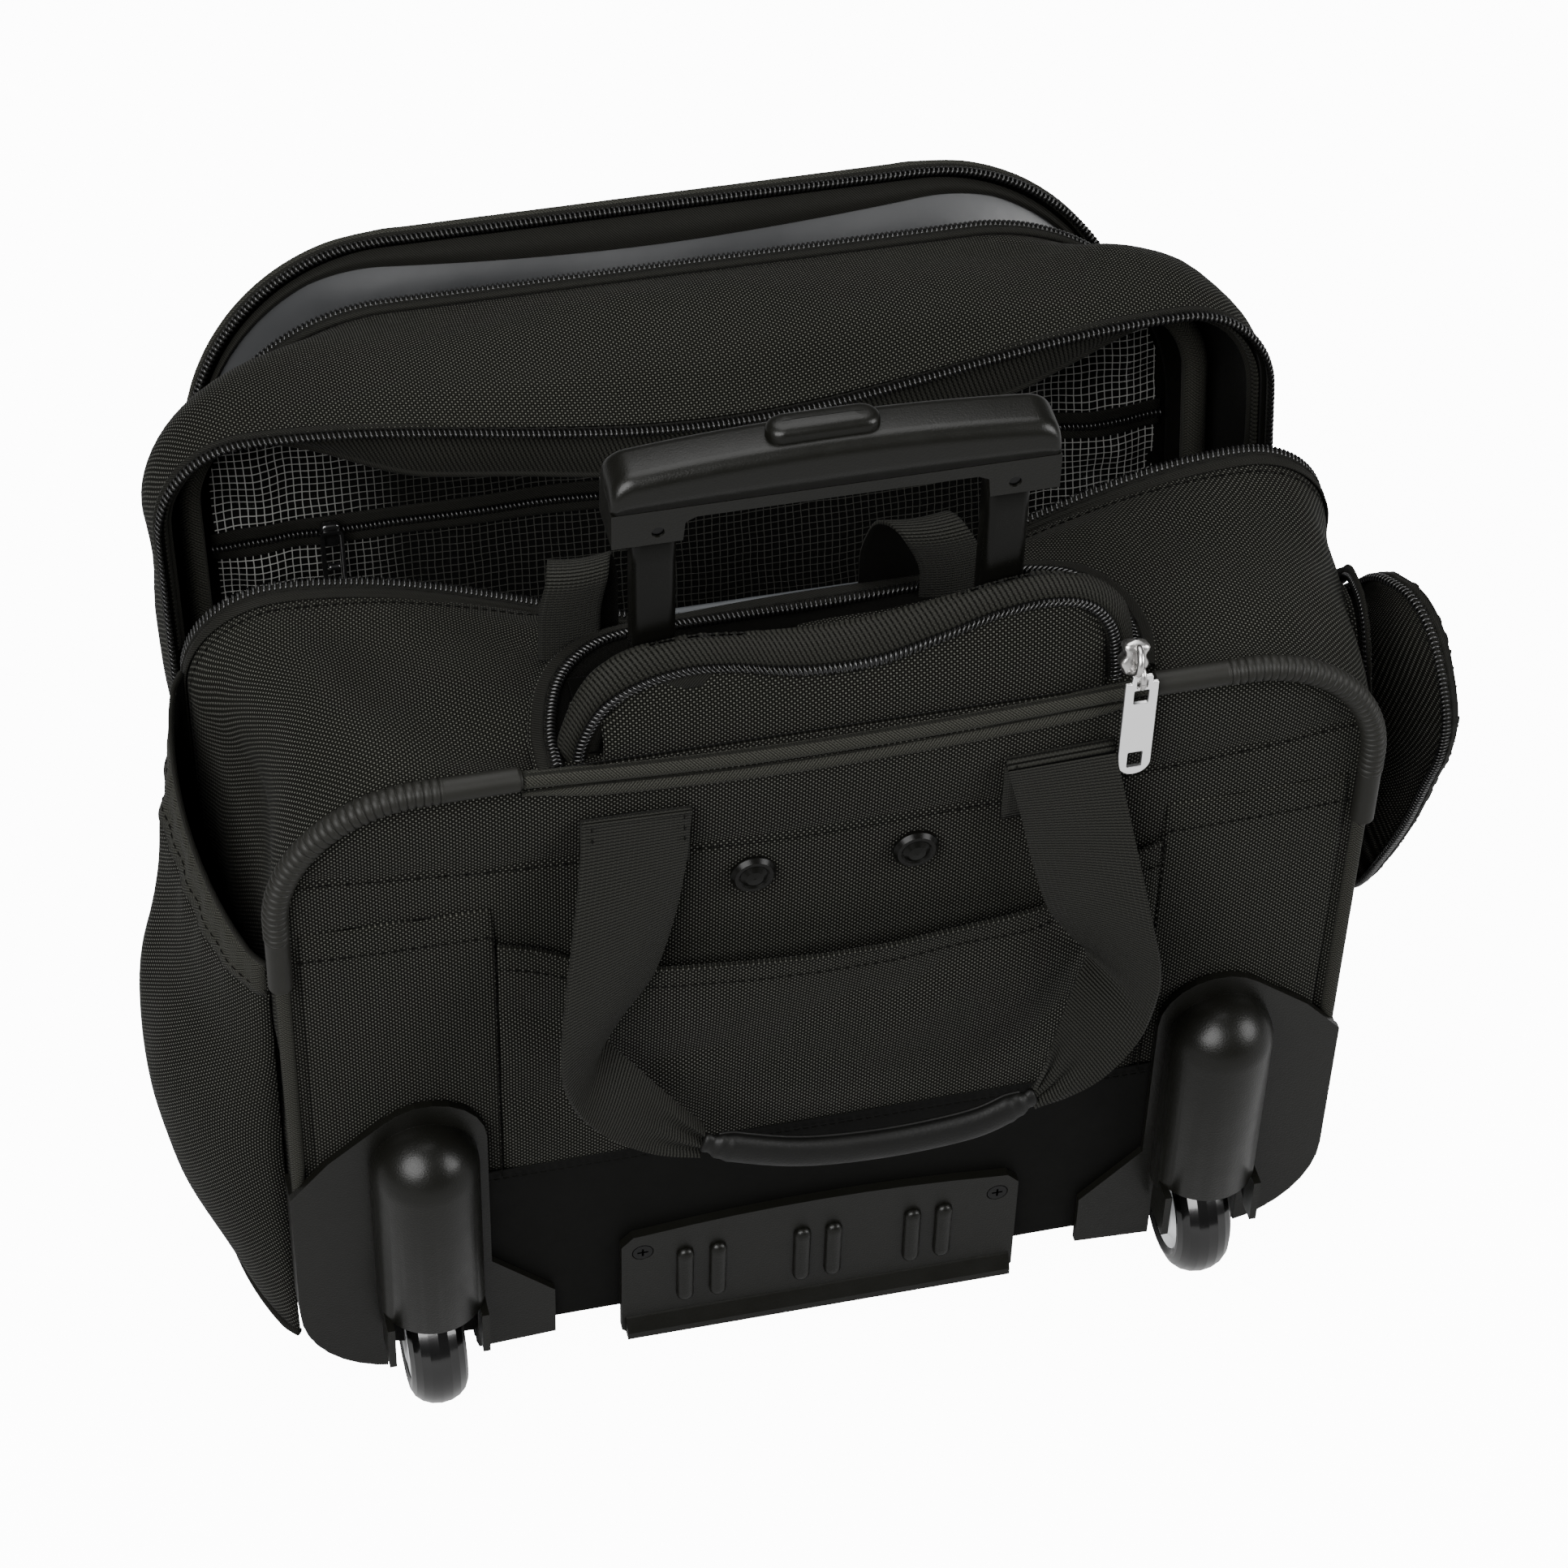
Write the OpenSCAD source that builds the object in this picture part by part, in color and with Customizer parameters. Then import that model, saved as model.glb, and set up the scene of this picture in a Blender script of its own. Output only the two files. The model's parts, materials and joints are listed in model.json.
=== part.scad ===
// Rolling laptop case, standing with its telescopic handle half raised and its compartments unzipped.
// X runs to the right seen from the wheel side, Y from the back panel to the front pocket, Z up.
// Inside each piece Y starts at the back panel; placed() then moves it so that the origin is
// on the floor, at the middle of the flat underside of the front stand.

/* [Case] */
// Half width of the back panel, to the centre line of the corner guards
half_w = 215; // [213:0.5:216]
// Height of the top edge of the back panel above the floor
top_z = 354; // [352:0.5:355]
// Height of the underside of the bag above the floor
bottom_z = 27; // [26.5:0.5:27.5]
// Depth of the rear half of the main compartment
rear_depth = 120; // [118:1:121]
// Depth of the front half of the main compartment
front_depth = 80; // [78:1:82]
// Distance from the back panel to the middle of the front stand
stand_y = 172; // [168:1:174]
// Thickness of the padded fabric walls
wall = 2; // [1.6:0.1:2.2]
// How far the unzipped top edge of the rear half sags in the middle
rear_sag = 52; // [30:1:56]
// How far the unzipped top edge of the front half sags in the middle
front_sag = 20; // [5:1:26]

/* [Open position] */
// Angle that the front half is tipped forward
front_open = 12.8; // [0:0.1:15]
// Angle that the front pocket panel is tipped from the front half
panel_open = 9.6; // [0:0.1:12]
// Angle that the right side pocket panel is swung out
side_open = 25; // [2:1:25]
// Angle that the handle pocket flap leans back
flap_lean = 5; // [0:0.5:6]
// Height that the trolley grip is pulled up from its stowed place
grip_raise = 133; // [60:1:133]

/* [Trolley handle] */
// Distance from the middle of the case to each telescopic post
post_x = 66; // [64:0.5:67]
// Distance from the back panel to the centre of the posts
post_y = 27; // [26.5:0.5:27.5]
// Width of the top stage of the post
post_w = 20; // [19:0.5:20]
// Depth of the top stage of the post
post_d = 12; // [11:0.5:12]
// Wall of every tube
tube_wall = 1.2; // [1:0.1:1.3]
// Gap between one tube and the next
tube_gap = 0.3; // [0.2:0.05:0.4]

/* [Wheels] */
// Distance from the middle of the case to each wheel
wheel_x = 165; // [164:0.5:166]
// Wheel radius
wheel_r = 32.5; // [31:0.5:32.5]
// Width of the tyre
tyre_w = 24; // [22:0.5:25]
// Radius of the axle
axle_r = 3; // [2.5:0.25:3]
// Radial running clearance on the axle
axle_gap = 0.05; // [0.02:0.01:0.08]

/* [Hidden] */
$fn = 48;
corner_steps = 5;
edge_steps = 8;
ring_count = 4 * (corner_steps + 1) + edge_steps - 1;
fit = 0.2;        // gap left between pieces that lie on each other
fabric = [0.11, 0.11, 0.1];
binding = [0.07, 0.07, 0.065];
plastic = [0.06, 0.06, 0.06];
rubber = [0.13, 0.13, 0.125];
metal = [0.75, 0.75, 0.76];

// Outline of the rear half at several depths: [y, half width, bottom, top, bottom radius, top radius, sag]
rear_stations = [
  [0, half_w - 7, bottom_z + 6, top_z - 7, 34, 52, 0],
  [5, half_w - 3, bottom_z + 2, top_z - 3, 38, 55, 0],
  [9, half_w + 0.5, bottom_z, top_z, 40, 58, 0],
  [60, half_w + 8, bottom_z, top_z + 1, 34, 50, 0.1 * rear_sag],
  [90, half_w + 12, bottom_z, top_z, 30, 44, 0.42 * rear_sag],
  [rear_depth, half_w + 16, bottom_z, top_z - 2, 26, 38, rear_sag]
];
// The front half, zipped shut, from its zip to its front wall
zip_y = rear_depth + 3.6;
front_y = zip_y + 3.4 + front_depth;
front_stations = [
  [zip_y + 3.2, half_w + 16, bottom_z + 9, top_z - 2, 26, 38, front_sag],
  [zip_y + 22, half_w + 17, bottom_z + 9, top_z + 5, 26, 44, 0.3 * front_sag],
  [zip_y + 54, half_w + 12, bottom_z + 9, top_z + 10, 30, 64, 0],
  [front_y - 4, half_w - 4, bottom_z + 11, top_z + 8, 38, 88, 0],
  [front_y, half_w - 12, bottom_z + 18, top_z + 1, 38, 84, 0]
];
// The front pocket panel, zipped shut
panel_y = front_y + 3;
panel_stations = [
  [panel_y, half_w - 8, bottom_z + 23, top_z + 14, 38, 90, 0],
  [panel_y + 9, half_w - 7, bottom_z + 22, top_z + 15, 38, 90, 0],
  [panel_y + 15, half_w - 16, bottom_z + 31, top_z + 5, 36, 84, 0],
  [panel_y + 18, half_w - 40, bottom_z + 55, top_z - 22, 24, 66, 0]
];
// Hinge lines of the two tipping parts, as [y, z] in the zipped-shut position
front_hinge = [192, 34];
panel_hinge = [front_y + 3, 48];
side_hinge = [half_w + 19.5, 112];
strap_hinge_z = 315;
flap_hinge = [4.5, top_z + 4.6];

wheel_y = 3;
plate_y = -5;             // outer face of the wheel housing plates
well = [36, 40.8, 46];    // inside of the wheel well: width, depth from the back panel, top height
well_wall = 3;
cup = [87, 13, 41];       // half width, nearest and furthest depth of the recess for the grip
grip_foot = 446 - grip_raise;
cup_floor = grip_foot - 5;
bar_z = 458.5;             // underside of the grip bar
split_z = 464;            // parting line of the two grip shells
grip_w = 83;
grip_d = 22;
button = [-25, 17];       // the button's two ends along X
stage = [
  [post_w, post_d],
  [post_w + 2 * (tube_gap + tube_wall), post_d + 2 * (tube_gap + tube_wall)],
  [post_w + 4 * (tube_gap + tube_wall), post_d + 4 * (tube_gap + tube_wall)],
  [post_w + 6 * (tube_gap + tube_wall), post_d + 6 * (tube_gap + tube_wall)]
];

// ---- Outlines and lofts ----

function arc(cx, cz, r, from, to, steps) =
  [for (i = [0:steps]) let (a = from + (to - from) * i / steps) [cx + r * cos(a), cz + r * sin(a)]];

// Rounded outline, counter-clockwise from the bottom right, whose top edge dips by sag in the middle
function outline(w, z0, z1, rb, rt, sag = 0) =
  concat(
    arc(w - rb, z0 + rb, rb, -90, 0, corner_steps),
    arc(w - rt, z1 - rt, rt, 0, 90, corner_steps),
    [for (i = [1:edge_steps - 1]) let (t = i / edge_steps)
      [(w - rt) * (1 - 2 * t), z1 - sag * pow(sin(180 * t), 2)]],
    arc(rt - w, z1 - rt, rt, 90, 180, corner_steps),
    arc(rb - w, z0 + rb, rb, 180, 270, corner_steps)
  );

function dot(cx, cz, r, count) =
  [for (i = [0:count - 1]) let (a = 360 * i / count - 80) [cx + r * cos(a), cz + r * sin(a)]];

function at_y(points, y) = [for (p = points) [p[0], y, p[1]]];

function station(s, inset, shift = 0) =
  at_y(outline(s[1] - inset, s[2] + inset, s[3] - inset, s[4] - inset, s[5] - inset, s[6]), s[0] + shift);

function reversed(list) = [for (i = [len(list) - 1:-1:0]) list[i]];

// Closed solid through rings of points; each ring runs counter-clockwise seen from the ring before it
module loft(rings) {
  n = len(rings[0]);
  last = len(rings) - 1;
  sides = [
    for (i = [0:last - 1], j = [0:n - 1])
      let (a = i * n + j, b = i * n + (j + 1) % n)
      each [[a, b, b + n], [a, b + n, a + n]]
  ];
  start_cap = [[for (j = [n - 1:-1:0]) j]];
  end_cap = [[for (j = [0:n - 1]) last * n + j]];
  polyhedron([for (r = rings) each r], concat(sides, start_cap, end_cap));
}

// Fabric tray through stations, closed at its first station and open at its last
module tray_opening_forward(stations, thick) {
  centre = (stations[0][2] + stations[0][3]) / 2;
  loft(concat(
    [at_y(dot(0, centre, 1, ring_count), stations[0][0])],
    [for (s = stations) station(s, 0)],
    [for (s = reversed(stations)) station(s, thick, s[0] == stations[0][0] ? thick : 0)],
    [at_y(dot(0, centre, 1, ring_count), stations[0][0] + thick)]
  ));
}

// Fabric tray through stations, open at its first station and closed at its last
module tray_opening_back(stations, thick) {
  end = len(stations) - 1;
  centre = (stations[end][2] + stations[end][3]) / 2;
  loft(concat(
    [at_y(dot(0, centre, 1, ring_count), stations[end][0] - thick)],
    [for (s = reversed(stations)) station(s, thick, s[0] == stations[end][0] ? -thick : 0)],
    [for (s = stations) station(s, 0)],
    [at_y(dot(0, centre, 1, ring_count), stations[end][0])]
  ));
}

// Extrudes an X-Z outline from depth y0 to depth y1
module slab(y0, y1) {
  translate([0, y1, 0])
    rotate([90, 0, 0])
      linear_extrude(y1 - y0)
        children();
}

// Zip half: a flat band along a station's outline, above height z0
module zip_band(s, y0, y1, width, z0) {
  slab(y0, y1)
    difference() {
      polygon(outline(s[1], s[2], s[3], s[4], s[5], s[6]));
      polygon(outline(s[1] - width, s[2] + width, s[3] - width, s[4] - width, s[5] - width, s[6]));
      translate([-half_w * 2, -10])
        square([half_w * 4, z0 + 10]);
    }
}

module placed() {
  translate([0, -stand_y, 0])
    children();
}

// Tips the children forward by an angle about a line along X
module tipped(angle, hinge) {
  translate([0, hinge[0], hinge[1]])
    rotate([-angle, 0, 0])
      translate([0, -hinge[0], -hinge[1]])
        children();
}

module in_front_shell() {
  placed()
    tipped(front_open, front_hinge)
      children();
}

module in_front_panel() {
  in_front_shell()
    tipped(panel_open, panel_hinge)
      children();
}

module on_both_sides() {
  children();
  mirror([1, 0, 0])
    children();
}

module rod_y(x, z, r, y0, y1) {
  translate([x, y1, z])
    rotate([90, 0, 0])
      cylinder(r = r, h = y1 - y0);
}

module rod_x(x0, x1, y, z, r) {
  translate([x0, y, z])
    rotate([0, 90, 0])
      cylinder(r = r, h = x1 - x0);
}

// ---- Body of the bag ----

housing_screw_spots = [[127, 45], [203, 118], [162, 169]];

module well_notches(grow) {
  on_both_sides()
    translate([wheel_x - well[0] / 2 - grow, -20, bottom_z - 20])
      cube([well[0] + 2 * grow, 20 + well[1] + grow, well[2] + 20 + grow]);
}

module housing_screw_holes(r) {
  on_both_sides()
    for (p = housing_screw_spots)
      rod_y(p[0], p[1], r, -4.2, 12);
}

module kick_screw_holes(r) {
  on_both_sides()
    rod_y(76, 69, r, -4, 12);
}

module rear_shell() {
  color(fabric) placed()
    difference() {
      tray_opening_forward(rear_stations, wall);
      translate([-cup[0] - 2.5, cup[1] - 2.5, 310])
        cube([2 * cup[0] + 5, cup[2] - cup[1] + 5, 60]);
      well_notches(well_wall + 1);
      housing_screw_holes(2);
      kick_screw_holes(2.2);
    }
}

module back_stiffener() {
  color([0.2, 0.2, 0.2]) placed()
    difference() {
      slab(2.4, 5)
        polygon(outline(half_w - 12, bottom_z + 10, top_z - 12, 32, 46));
      well_notches(well_wall + 1);
      housing_screw_holes(2);
      kick_screw_holes(2.2);
    }
}

module rear_lining() {
  color([0.3, 0.31, 0.32]) placed()
    slab(44.6, 46)
      polygon(outline(half_w - 4, bottom_z + 4, top_z - 8, 36, 50));
}

module base_board() {
  color([0.25, 0.22, 0.18]) placed()
    translate([-half_w + 30, 48, bottom_z + 2.6])
      cube([2 * half_w - 60, 138, 2.4]);
}

module bottom_panel() {
  color(fabric) placed()
    translate([-half_w + 12, rear_depth + fit, bottom_z])
      cube([2 * half_w - 24, 186 - rear_depth, 2.4]);
}

module lower_panel() {
  color([0.05, 0.05, 0.05]) placed()
    difference() {
      slab(-1.6, -0.1)
        union() {
          polygon(outline(half_w - 8, bottom_z + 5, 100, 36, 2));
          translate([-half_w + 8, 90])
            square([2 * half_w - 16, 42]);
        }
      well_notches(well_wall + 1);
      housing_screw_holes(2);
      kick_screw_holes(2.2);
    }
}

module back_piping() {
  side_foot = 148;
  side_top = 261.5;
  color(binding) placed() {
    rod_x(-guard_end + 0.5, guard_end - 0.5, 0, top_z + 0.5, 3.2);
    on_both_sides()
      translate([half_w - 1, 0, side_foot])
        cylinder(r = 3.2, h = side_top - side_foot);
  }
}

guard_bend = 57;
guard_r = 5.3;
guard_end = 120.5;

module corner_guard() {
  bend_x = half_w - guard_bend;
  bend_z = top_z + 2 - guard_bend;
  color(rubber) placed()
    translate([0, -1, 0]) {
      translate([half_w, 0, 262])
        cylinder(r = guard_r, h = bend_z - 262);
      translate([bend_x, 0, bend_z])
        rotate([90, 0, 0])
          rotate_extrude(angle = 90)
            translate([guard_bend, 0])
              circle(r = guard_r);
      rod_x(guard_end, bend_x, 0, top_z + 2, guard_r);
    }
}

module corner_guard_right() {
  corner_guard();
}

module corner_guard_left() {
  mirror([1, 0, 0])
    corner_guard();
}

// ---- Wheel housings, axles, kick plate ----

barrel_r = 22;
barrel_y = -8;
barrel_top = 151;
plate_edge = half_w + 4;

module housing_plate_outline() {
  polygon(concat(
    [[113, 25], [113, 53], [139, 79]],
    reversed(arc(163.5, 159, 24.5, 48, 180, 8)),
    [[203, 158], [plate_edge, 139]],
    reversed(arc(plate_edge - 45, 65, 45, -80, 0, 8))
  ));
}

module barrel_solid(r, z0) {
  translate([wheel_x, barrel_y, z0])
    cylinder(r = r, h = barrel_top - z0);
  translate([wheel_x, barrel_y, barrel_top])
    sphere(r = r);
}

module wheel_housing() {
  inner_w = well[0];
  left = wheel_x - inner_w / 2;
  color(plastic) placed()
    difference() {
      union() {
        slab(plate_y, plate_y + 3.2)
          housing_plate_outline();
        // flange that wraps round the side of the bag
        slab(plate_y, 11)
          polygon(concat(
            arc(plate_edge - 45, 65, 45, -80, 0, 8),
            [[plate_edge, 137], [plate_edge - 2.6, 137]],
            reversed(arc(plate_edge - 45, 65, 42.4, -80, 0, 8))
          ));
        barrel_solid(barrel_r, 64);
        // wheel well
        translate([left - well_wall, plate_y, bottom_z - 1.5])
          cube([inner_w + 2 * well_wall, well[1] - plate_y, well[2] + well_wall - 1]);
        // cheeks beside the wheel
        for (x = [left - well_wall, left + inner_w])
          translate([x, barrel_y - 17, 46])
            cube([well_wall, 16, 24]);
      }
      // inside of the barrel, the well and the space round the wheel
      difference() {
        barrel_solid(barrel_r - 2.5, 20);
        translate([0, plate_y + 1, 78])
          cube([400, 100, 200]);
      }
      translate([left, plate_y - 40, bottom_z - 10])
        cube([inner_w, well[1] - plate_y + 37, well[2] + 7]);
      translate([left, barrel_y - 12, 50])
        cube([inner_w, 22, 26]);
      // nothing of the barrel stands behind the plate
      translate([0, plate_y + 3.2, well[2] + bottom_z + 1])
        cube([plate_edge - 5, 60, 200]);
      rod_x(left - 10, left + inner_w + 10, wheel_y, wheel_r, axle_r + 0.02);
      for (p = housing_screw_spots)
        rod_y(p[0], p[1], 1.5, -4.2, 0);
    }
}

module wheel_housing_right() {
  wheel_housing();
}

module wheel_housing_left() {
  mirror([1, 0, 0])
    wheel_housing();
}

module housing_screws() {
  color(metal) placed()
    on_both_sides()
      for (p = housing_screw_spots) {
        rod_y(p[0], p[1], 1.5, -4, 5.2);
        rod_y(p[0], p[1], 3.4, 5.2, 7.4);
      }
}

module axles() {
  half = well[0] / 2 + well_wall;
  color(metal) placed()
    on_both_sides()
      union() {
        rod_x(wheel_x - half - 0.4, wheel_x + half + 0.4, wheel_y, wheel_r, axle_r);
        rod_x(wheel_x - half - 0.9, wheel_x - half - 0.05, wheel_y, wheel_r, axle_r + 1.2);
        rod_x(wheel_x + half + 0.05, wheel_x + half + 0.9, wheel_y, wheel_r, axle_r + 1.2);
      }
}

// Kick plate: ribbed skid with an arched top and a lip along its bottom edge
module kick_plate() {
  front = -5.9;
  back = -1.8;
  color(plastic) placed()
    difference() {
      union() {
        slab(front, back)
          polygon(concat(
            [[-85, 19], [-83, 17], [83, 17], [85, 19], [85, 74], [80, 79.5]],
            [for (i = [0:8]) let (x = 74 - 18.5 * i) [x, 84.5 - 5 * pow(x / 78, 2)]],
            [[-80, 79.5], [-85, 74]]
          ));
        translate([-83, front - 3, 17])
          cube([166, 4, 3]);
        for (x = [-58, -44, -8, 5.5, 39.5, 53])
          plate_rib(x, front);
      }
      on_both_sides() {
        rod_y(76, 69, 2.2, -7, 0);
        rod_y(76, 69, 4.6, -7, -3.9);
      }
    }
}

module plate_rib(x, front) {
  rod_y(x, 38, 3, front - 2, front + 0.5);
  rod_y(x, 64, 3, front - 2, front + 0.5);
  translate([x - 3, front - 2, 38])
    cube([6, 2.5, 26]);
}

module kick_plate_screws() {
  color(metal) placed()
    on_both_sides()
      difference() {
        union() {
          rod_y(76, 69, 2, -4.2, 9);
          rod_y(76, 69, 4.2, -5.9, -4);
        }
        for (turn = [0, 90])
          translate([76, -5.2, 69])
            rotate([0, turn, 0])
              cube([4.6, 1.6, 0.9], center = true);
      }
}

// ---- Details of the back panel ----

module slip_pocket() {
  edge = half_w - 9;
  color(fabric) placed()
    difference() {
      slab(-1.8, -0.3)
        polygon([
          [-edge, 133], [edge, 133], [edge, 287], [132, 287], [132, 267], [66, 252], [0, 247],
          [-66, 252], [-132, 267], [-132, 287], [-edge, 287]
        ]);
      housing_screw_holes(2);
    }
}

module snap_studs() {
  color(plastic) placed()
    on_both_sides()
      translate([32, -0.2, 285])
        rotate([90, 0, 0])
          rotate_extrude()
            polygon([[0, 0], [9, 0], [9, 1.4], [7.6, 3], [6.2, 3], [5.4, 2.4], [3.4, 3.8], [0, 4.2]]);
}

strap_w = 39;

module strap_anchors() {
  color(binding) placed()
    for (line = strap_lines)
      translate([line[0][0] - strap_w / 2, -2.4, strap_hinge_z + 1.5])
        cube([strap_w, 2, 27]);
}

// ---- Trolley handle ----

module tube_profile(size, inner) {
  difference() {
    square(size, center = true);
    square(inner, center = true);
  }
}

module tube_pair(k, z0, z1) {
  on_both_sides()
    translate([post_x, post_y, z0])
      linear_extrude(z1 - z0)
        tube_profile(stage[k], stage[k] - [2 * tube_wall, 2 * tube_wall]);
}

module outer_tubes() {
  color([0.3, 0.3, 0.31]) placed()
    tube_pair(3, 34.2, cup_floor - 0.4);
}

module lower_tubes() {
  color([0.12, 0.12, 0.12]) placed()
    tube_pair(2, 37, cup_floor - 2);
}

module upper_tubes() {
  color([0.12, 0.12, 0.12]) placed()
    tube_pair(1, 40, cup_floor - 4);
}

module inner_tubes() {
  color([0.05, 0.05, 0.05]) placed()
    difference() {
      tube_pair(0, 44 + grip_raise, grip_foot + grip_raise + 14);
      grip_screw_rods(1.6);
    }
}

module trolley_base() {
  color(plastic) placed()
    translate([-85, 14.5, bottom_z + 2.4])
      cube([170, 25, 4.6]);
}

// Recess that the grip sinks into, with its flange on top of the bag
module handle_cup() {
  skin = 1.8;
  rim = 356.3;
  color(plastic) placed()
    difference() {
      union() {
        translate([-cup[0] - skin, cup[1] - skin, cup_floor])
          cube([2 * (cup[0] + skin), cup[2] - cup[1] + 2 * skin, rim - cup_floor]);
        translate([-cup[0] - 7, 6.8, top_z + 1.3])
          cube([2 * (cup[0] + 7), 40, rim - top_z - 1.3]);
      }
      translate([-cup[0], cup[1], cup_floor + 2.2])
        cube([2 * cup[0], cup[2] - cup[1], 80]);
      on_both_sides()
        translate([post_x, post_y, cup_floor - 1])
          linear_extrude(10)
            square(stage[2] + [1, 1], center = true);
    }
}

// Front view of the grip: two feet under a bar with an arched top
module grip_outline() {
  polygon(concat(
    [[-grip_w + 2, 446], [-57, 446], [-56, bar_z - 2], [-52, bar_z], [52, bar_z], [56, bar_z - 2],
      [57, 446], [grip_w - 2, 446], [grip_w, 448]],
    [[grip_w, 470], [grip_w - 2, 475]],
    [for (i = [0:16]) let (x = (grip_w - 6) * (1 - i / 8)) [x, 483 - 5 * pow(x / grip_w, 2)]],
    [[2 - grip_w, 475], [-grip_w, 470], [-grip_w, 448]]
  ));
}

// Side view of the grip, rounded at its edges
module grip_section() {
  rotate([90, 0, 90])
    translate([post_y, 0, -grip_w])
      linear_extrude(2 * grip_w)
        polygon(concat(
          [[-grip_d / 2 + 2, 446], [grip_d / 2 - 2, 446], [grip_d / 2, 448]],
          arc(grip_d / 2 - 7, 476, 7, 0, 90, 5),
          reversed([for (p = arc(grip_d / 2 - 7, 476, 7, 0, 90, 5)) [-p[0], p[1]]]),
          [[-grip_d / 2, 448]]
        ));
}

module grip_solid() {
  intersection() {
    slab(post_y - grip_d / 2, post_y + grip_d / 2)
      grip_outline();
    grip_section();
  }
}

module grip_screw_rods(r) {
  on_both_sides()
    rod_y(post_x, 453.5, r, post_y - 10, post_y - 2.6);
}

module grip_cavity() {
  translate([-76, post_y - 8, 461])
    cube([152, 16, 11]);
  translate([button[0] - 4, post_y - 7.6, 464])
    cube([button[1] - button[0] + 8, 15.2, 11.8]);
}

module grip_upper() {
  color(plastic) placed()
    difference() {
      grip_solid();
      grip_cavity();
      translate([-100, 0, 420])
        cube([200, 60, split_z + 0.15 - 420]);
      translate([button[0] - 0.4, post_y - 6.4, 472])
        cube([button[1] - button[0] + 0.8, 12.8, 20]);
    }
}

module grip_lower() {
  color(plastic) placed()
    difference() {
      grip_solid();
      grip_cavity();
      translate([-100, 0, split_z - 0.15])
        cube([200, 60, 60]);
      on_both_sides()
        translate([post_x, post_y, 420])
          linear_extrude(40)
            square(stage[0] + [0.1, 0.1], center = true);
      on_both_sides() {
        translate([post_x, post_y, 459])
          cylinder(r = 1.8, h = 3);
        rod_y(post_x, 453.5, 1.6, 10, post_y - 5);
        rod_y(post_x, 453.5, 2.4, 10, post_y - 8.2);
      }
    }
}

module grip_screws() {
  color([0.1, 0.1, 0.1]) placed()
    on_both_sides()
      union() {
        rod_y(post_x, 453.5, 1.5, post_y - 10, post_y - 2.8);
        rod_y(post_x, 453.5, 2.3, post_y - 10, post_y - 8.3);
      }
}

module push_button() {
  color(plastic) placed() {
    translate([button[0], post_y - 6, 473])
      cube([button[1] - button[0], 12, 13.5]);
    slab(post_y - 6, post_y + 6)
      polygon(concat(
        [[button[0], 485], [button[1], 485]],
        [for (i = [0:6]) let (t = i / 6)
          [button[1] - 1 - t * (button[1] - button[0] - 2), 487 + 2 * sin(180 * t)]]
      ));
    translate([button[0] - 2.5, post_y - 7, 472.4])
      cube([button[1] - button[0] + 5, 14, 3]);
  }
}

module release_linkage() {
  color([0.2, 0.2, 0.2]) placed() {
    translate([-71, post_y - 4, 467])
      cube([142, 8, 3]);
    translate([-12, post_y - 4, 469.5])
      cube([18, 8, 2.7]);
    on_both_sides()
      translate([post_x, post_y, 60 + grip_raise])
        cylinder(r = 1.5, h = 467.5 - 60 - grip_raise);
  }
}

// Return spring under the linkage: a round wire turned round a short coil
module coil(r, wire, height, turns) {
  steps = 14 * turns;
  ring = 6;
  rings = [
    for (i = [0:steps])
      let (a = 360 * turns * i / steps, z = wire + (height - 2 * wire) * i / steps)
      [for (j = [0:ring - 1]) let (b = -360 * j / ring, q = r + wire * cos(b))
        [q * cos(a), q * sin(a), z + wire * sin(b)]]
  ];
  loft(rings);
}

module button_springs() {
  color(metal) placed()
    for (x = [-40, 34])
      translate([x, post_y, 461.2])
        coil(3, 0.4, 5.6, 2);
}

// ---- Wheels ----

module turned(side) {
  placed()
    translate([side * wheel_x, wheel_y, wheel_r])
      rotate([0, 90, 0])
        rotate_extrude()
          children();
}

hub_r = 21;
bearing_r = 9.5;
bearing_w = 6;

module tyre_profile() {
  crown = 9;
  polygon(concat(
    [[hub_r + fit, -tyre_w / 2 + 1], [wheel_r - crown, -tyre_w / 2]],
    [for (i = [0:8]) let (a = -80 + 20 * i) [wheel_r - crown + crown * cos(a), tyre_w / 2 * sin(a)]],
    [[wheel_r - crown, tyre_w / 2], [hub_r + fit, tyre_w / 2 - 1]]
  ));
}

module hub_profile() {
  face = tyre_w / 2 - 0.5;
  polygon([
    [axle_r + 1.2, -face + bearing_w], [bearing_r, -face + bearing_w], [bearing_r, -face],
    [14, -face], [17, -face + 3], [hub_r, -face + 1], [hub_r, face - 1], [17, face - 3],
    [14, face], [bearing_r, face], [bearing_r, face - bearing_w], [axle_r + 1.2, face - bearing_w]
  ]);
}

module bearing_profile() {
  face = tyre_w / 2 - 0.5;
  for (s = [-1, 1])
    translate([axle_r + axle_gap, s > 0 ? face - bearing_w + 0.05 : -face])
      square([bearing_r - axle_r - axle_gap - 0.02, bearing_w - 0.05]);
}

module tyre_left() {
  color([0.02, 0.02, 0.02]) turned(-1) tyre_profile();
}

module tyre_right() {
  color([0.02, 0.02, 0.02]) turned(1) tyre_profile();
}

module hub_left() {
  color(metal) turned(-1) hub_profile();
}

module hub_right() {
  color(metal) turned(1) hub_profile();
}

module bearings_left() {
  color(metal) turned(-1) bearing_profile();
}

module bearings_right() {
  color(metal) turned(1) bearing_profile();
}

// ---- Main zip, sleeve, stand ----

module main_zipper_rear() {
  color(binding) placed()
    zip_band(rear_stations[len(rear_stations) - 1], rear_depth + 0.1, rear_depth + 3.1, 5, 60);
}

module main_zip_sliders() {
  color(metal) placed()
    on_both_sides()
      translate([half_w + 9.5, rear_depth + 0.2, 47])
        cube([7, 2.8, 12]);
}

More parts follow.
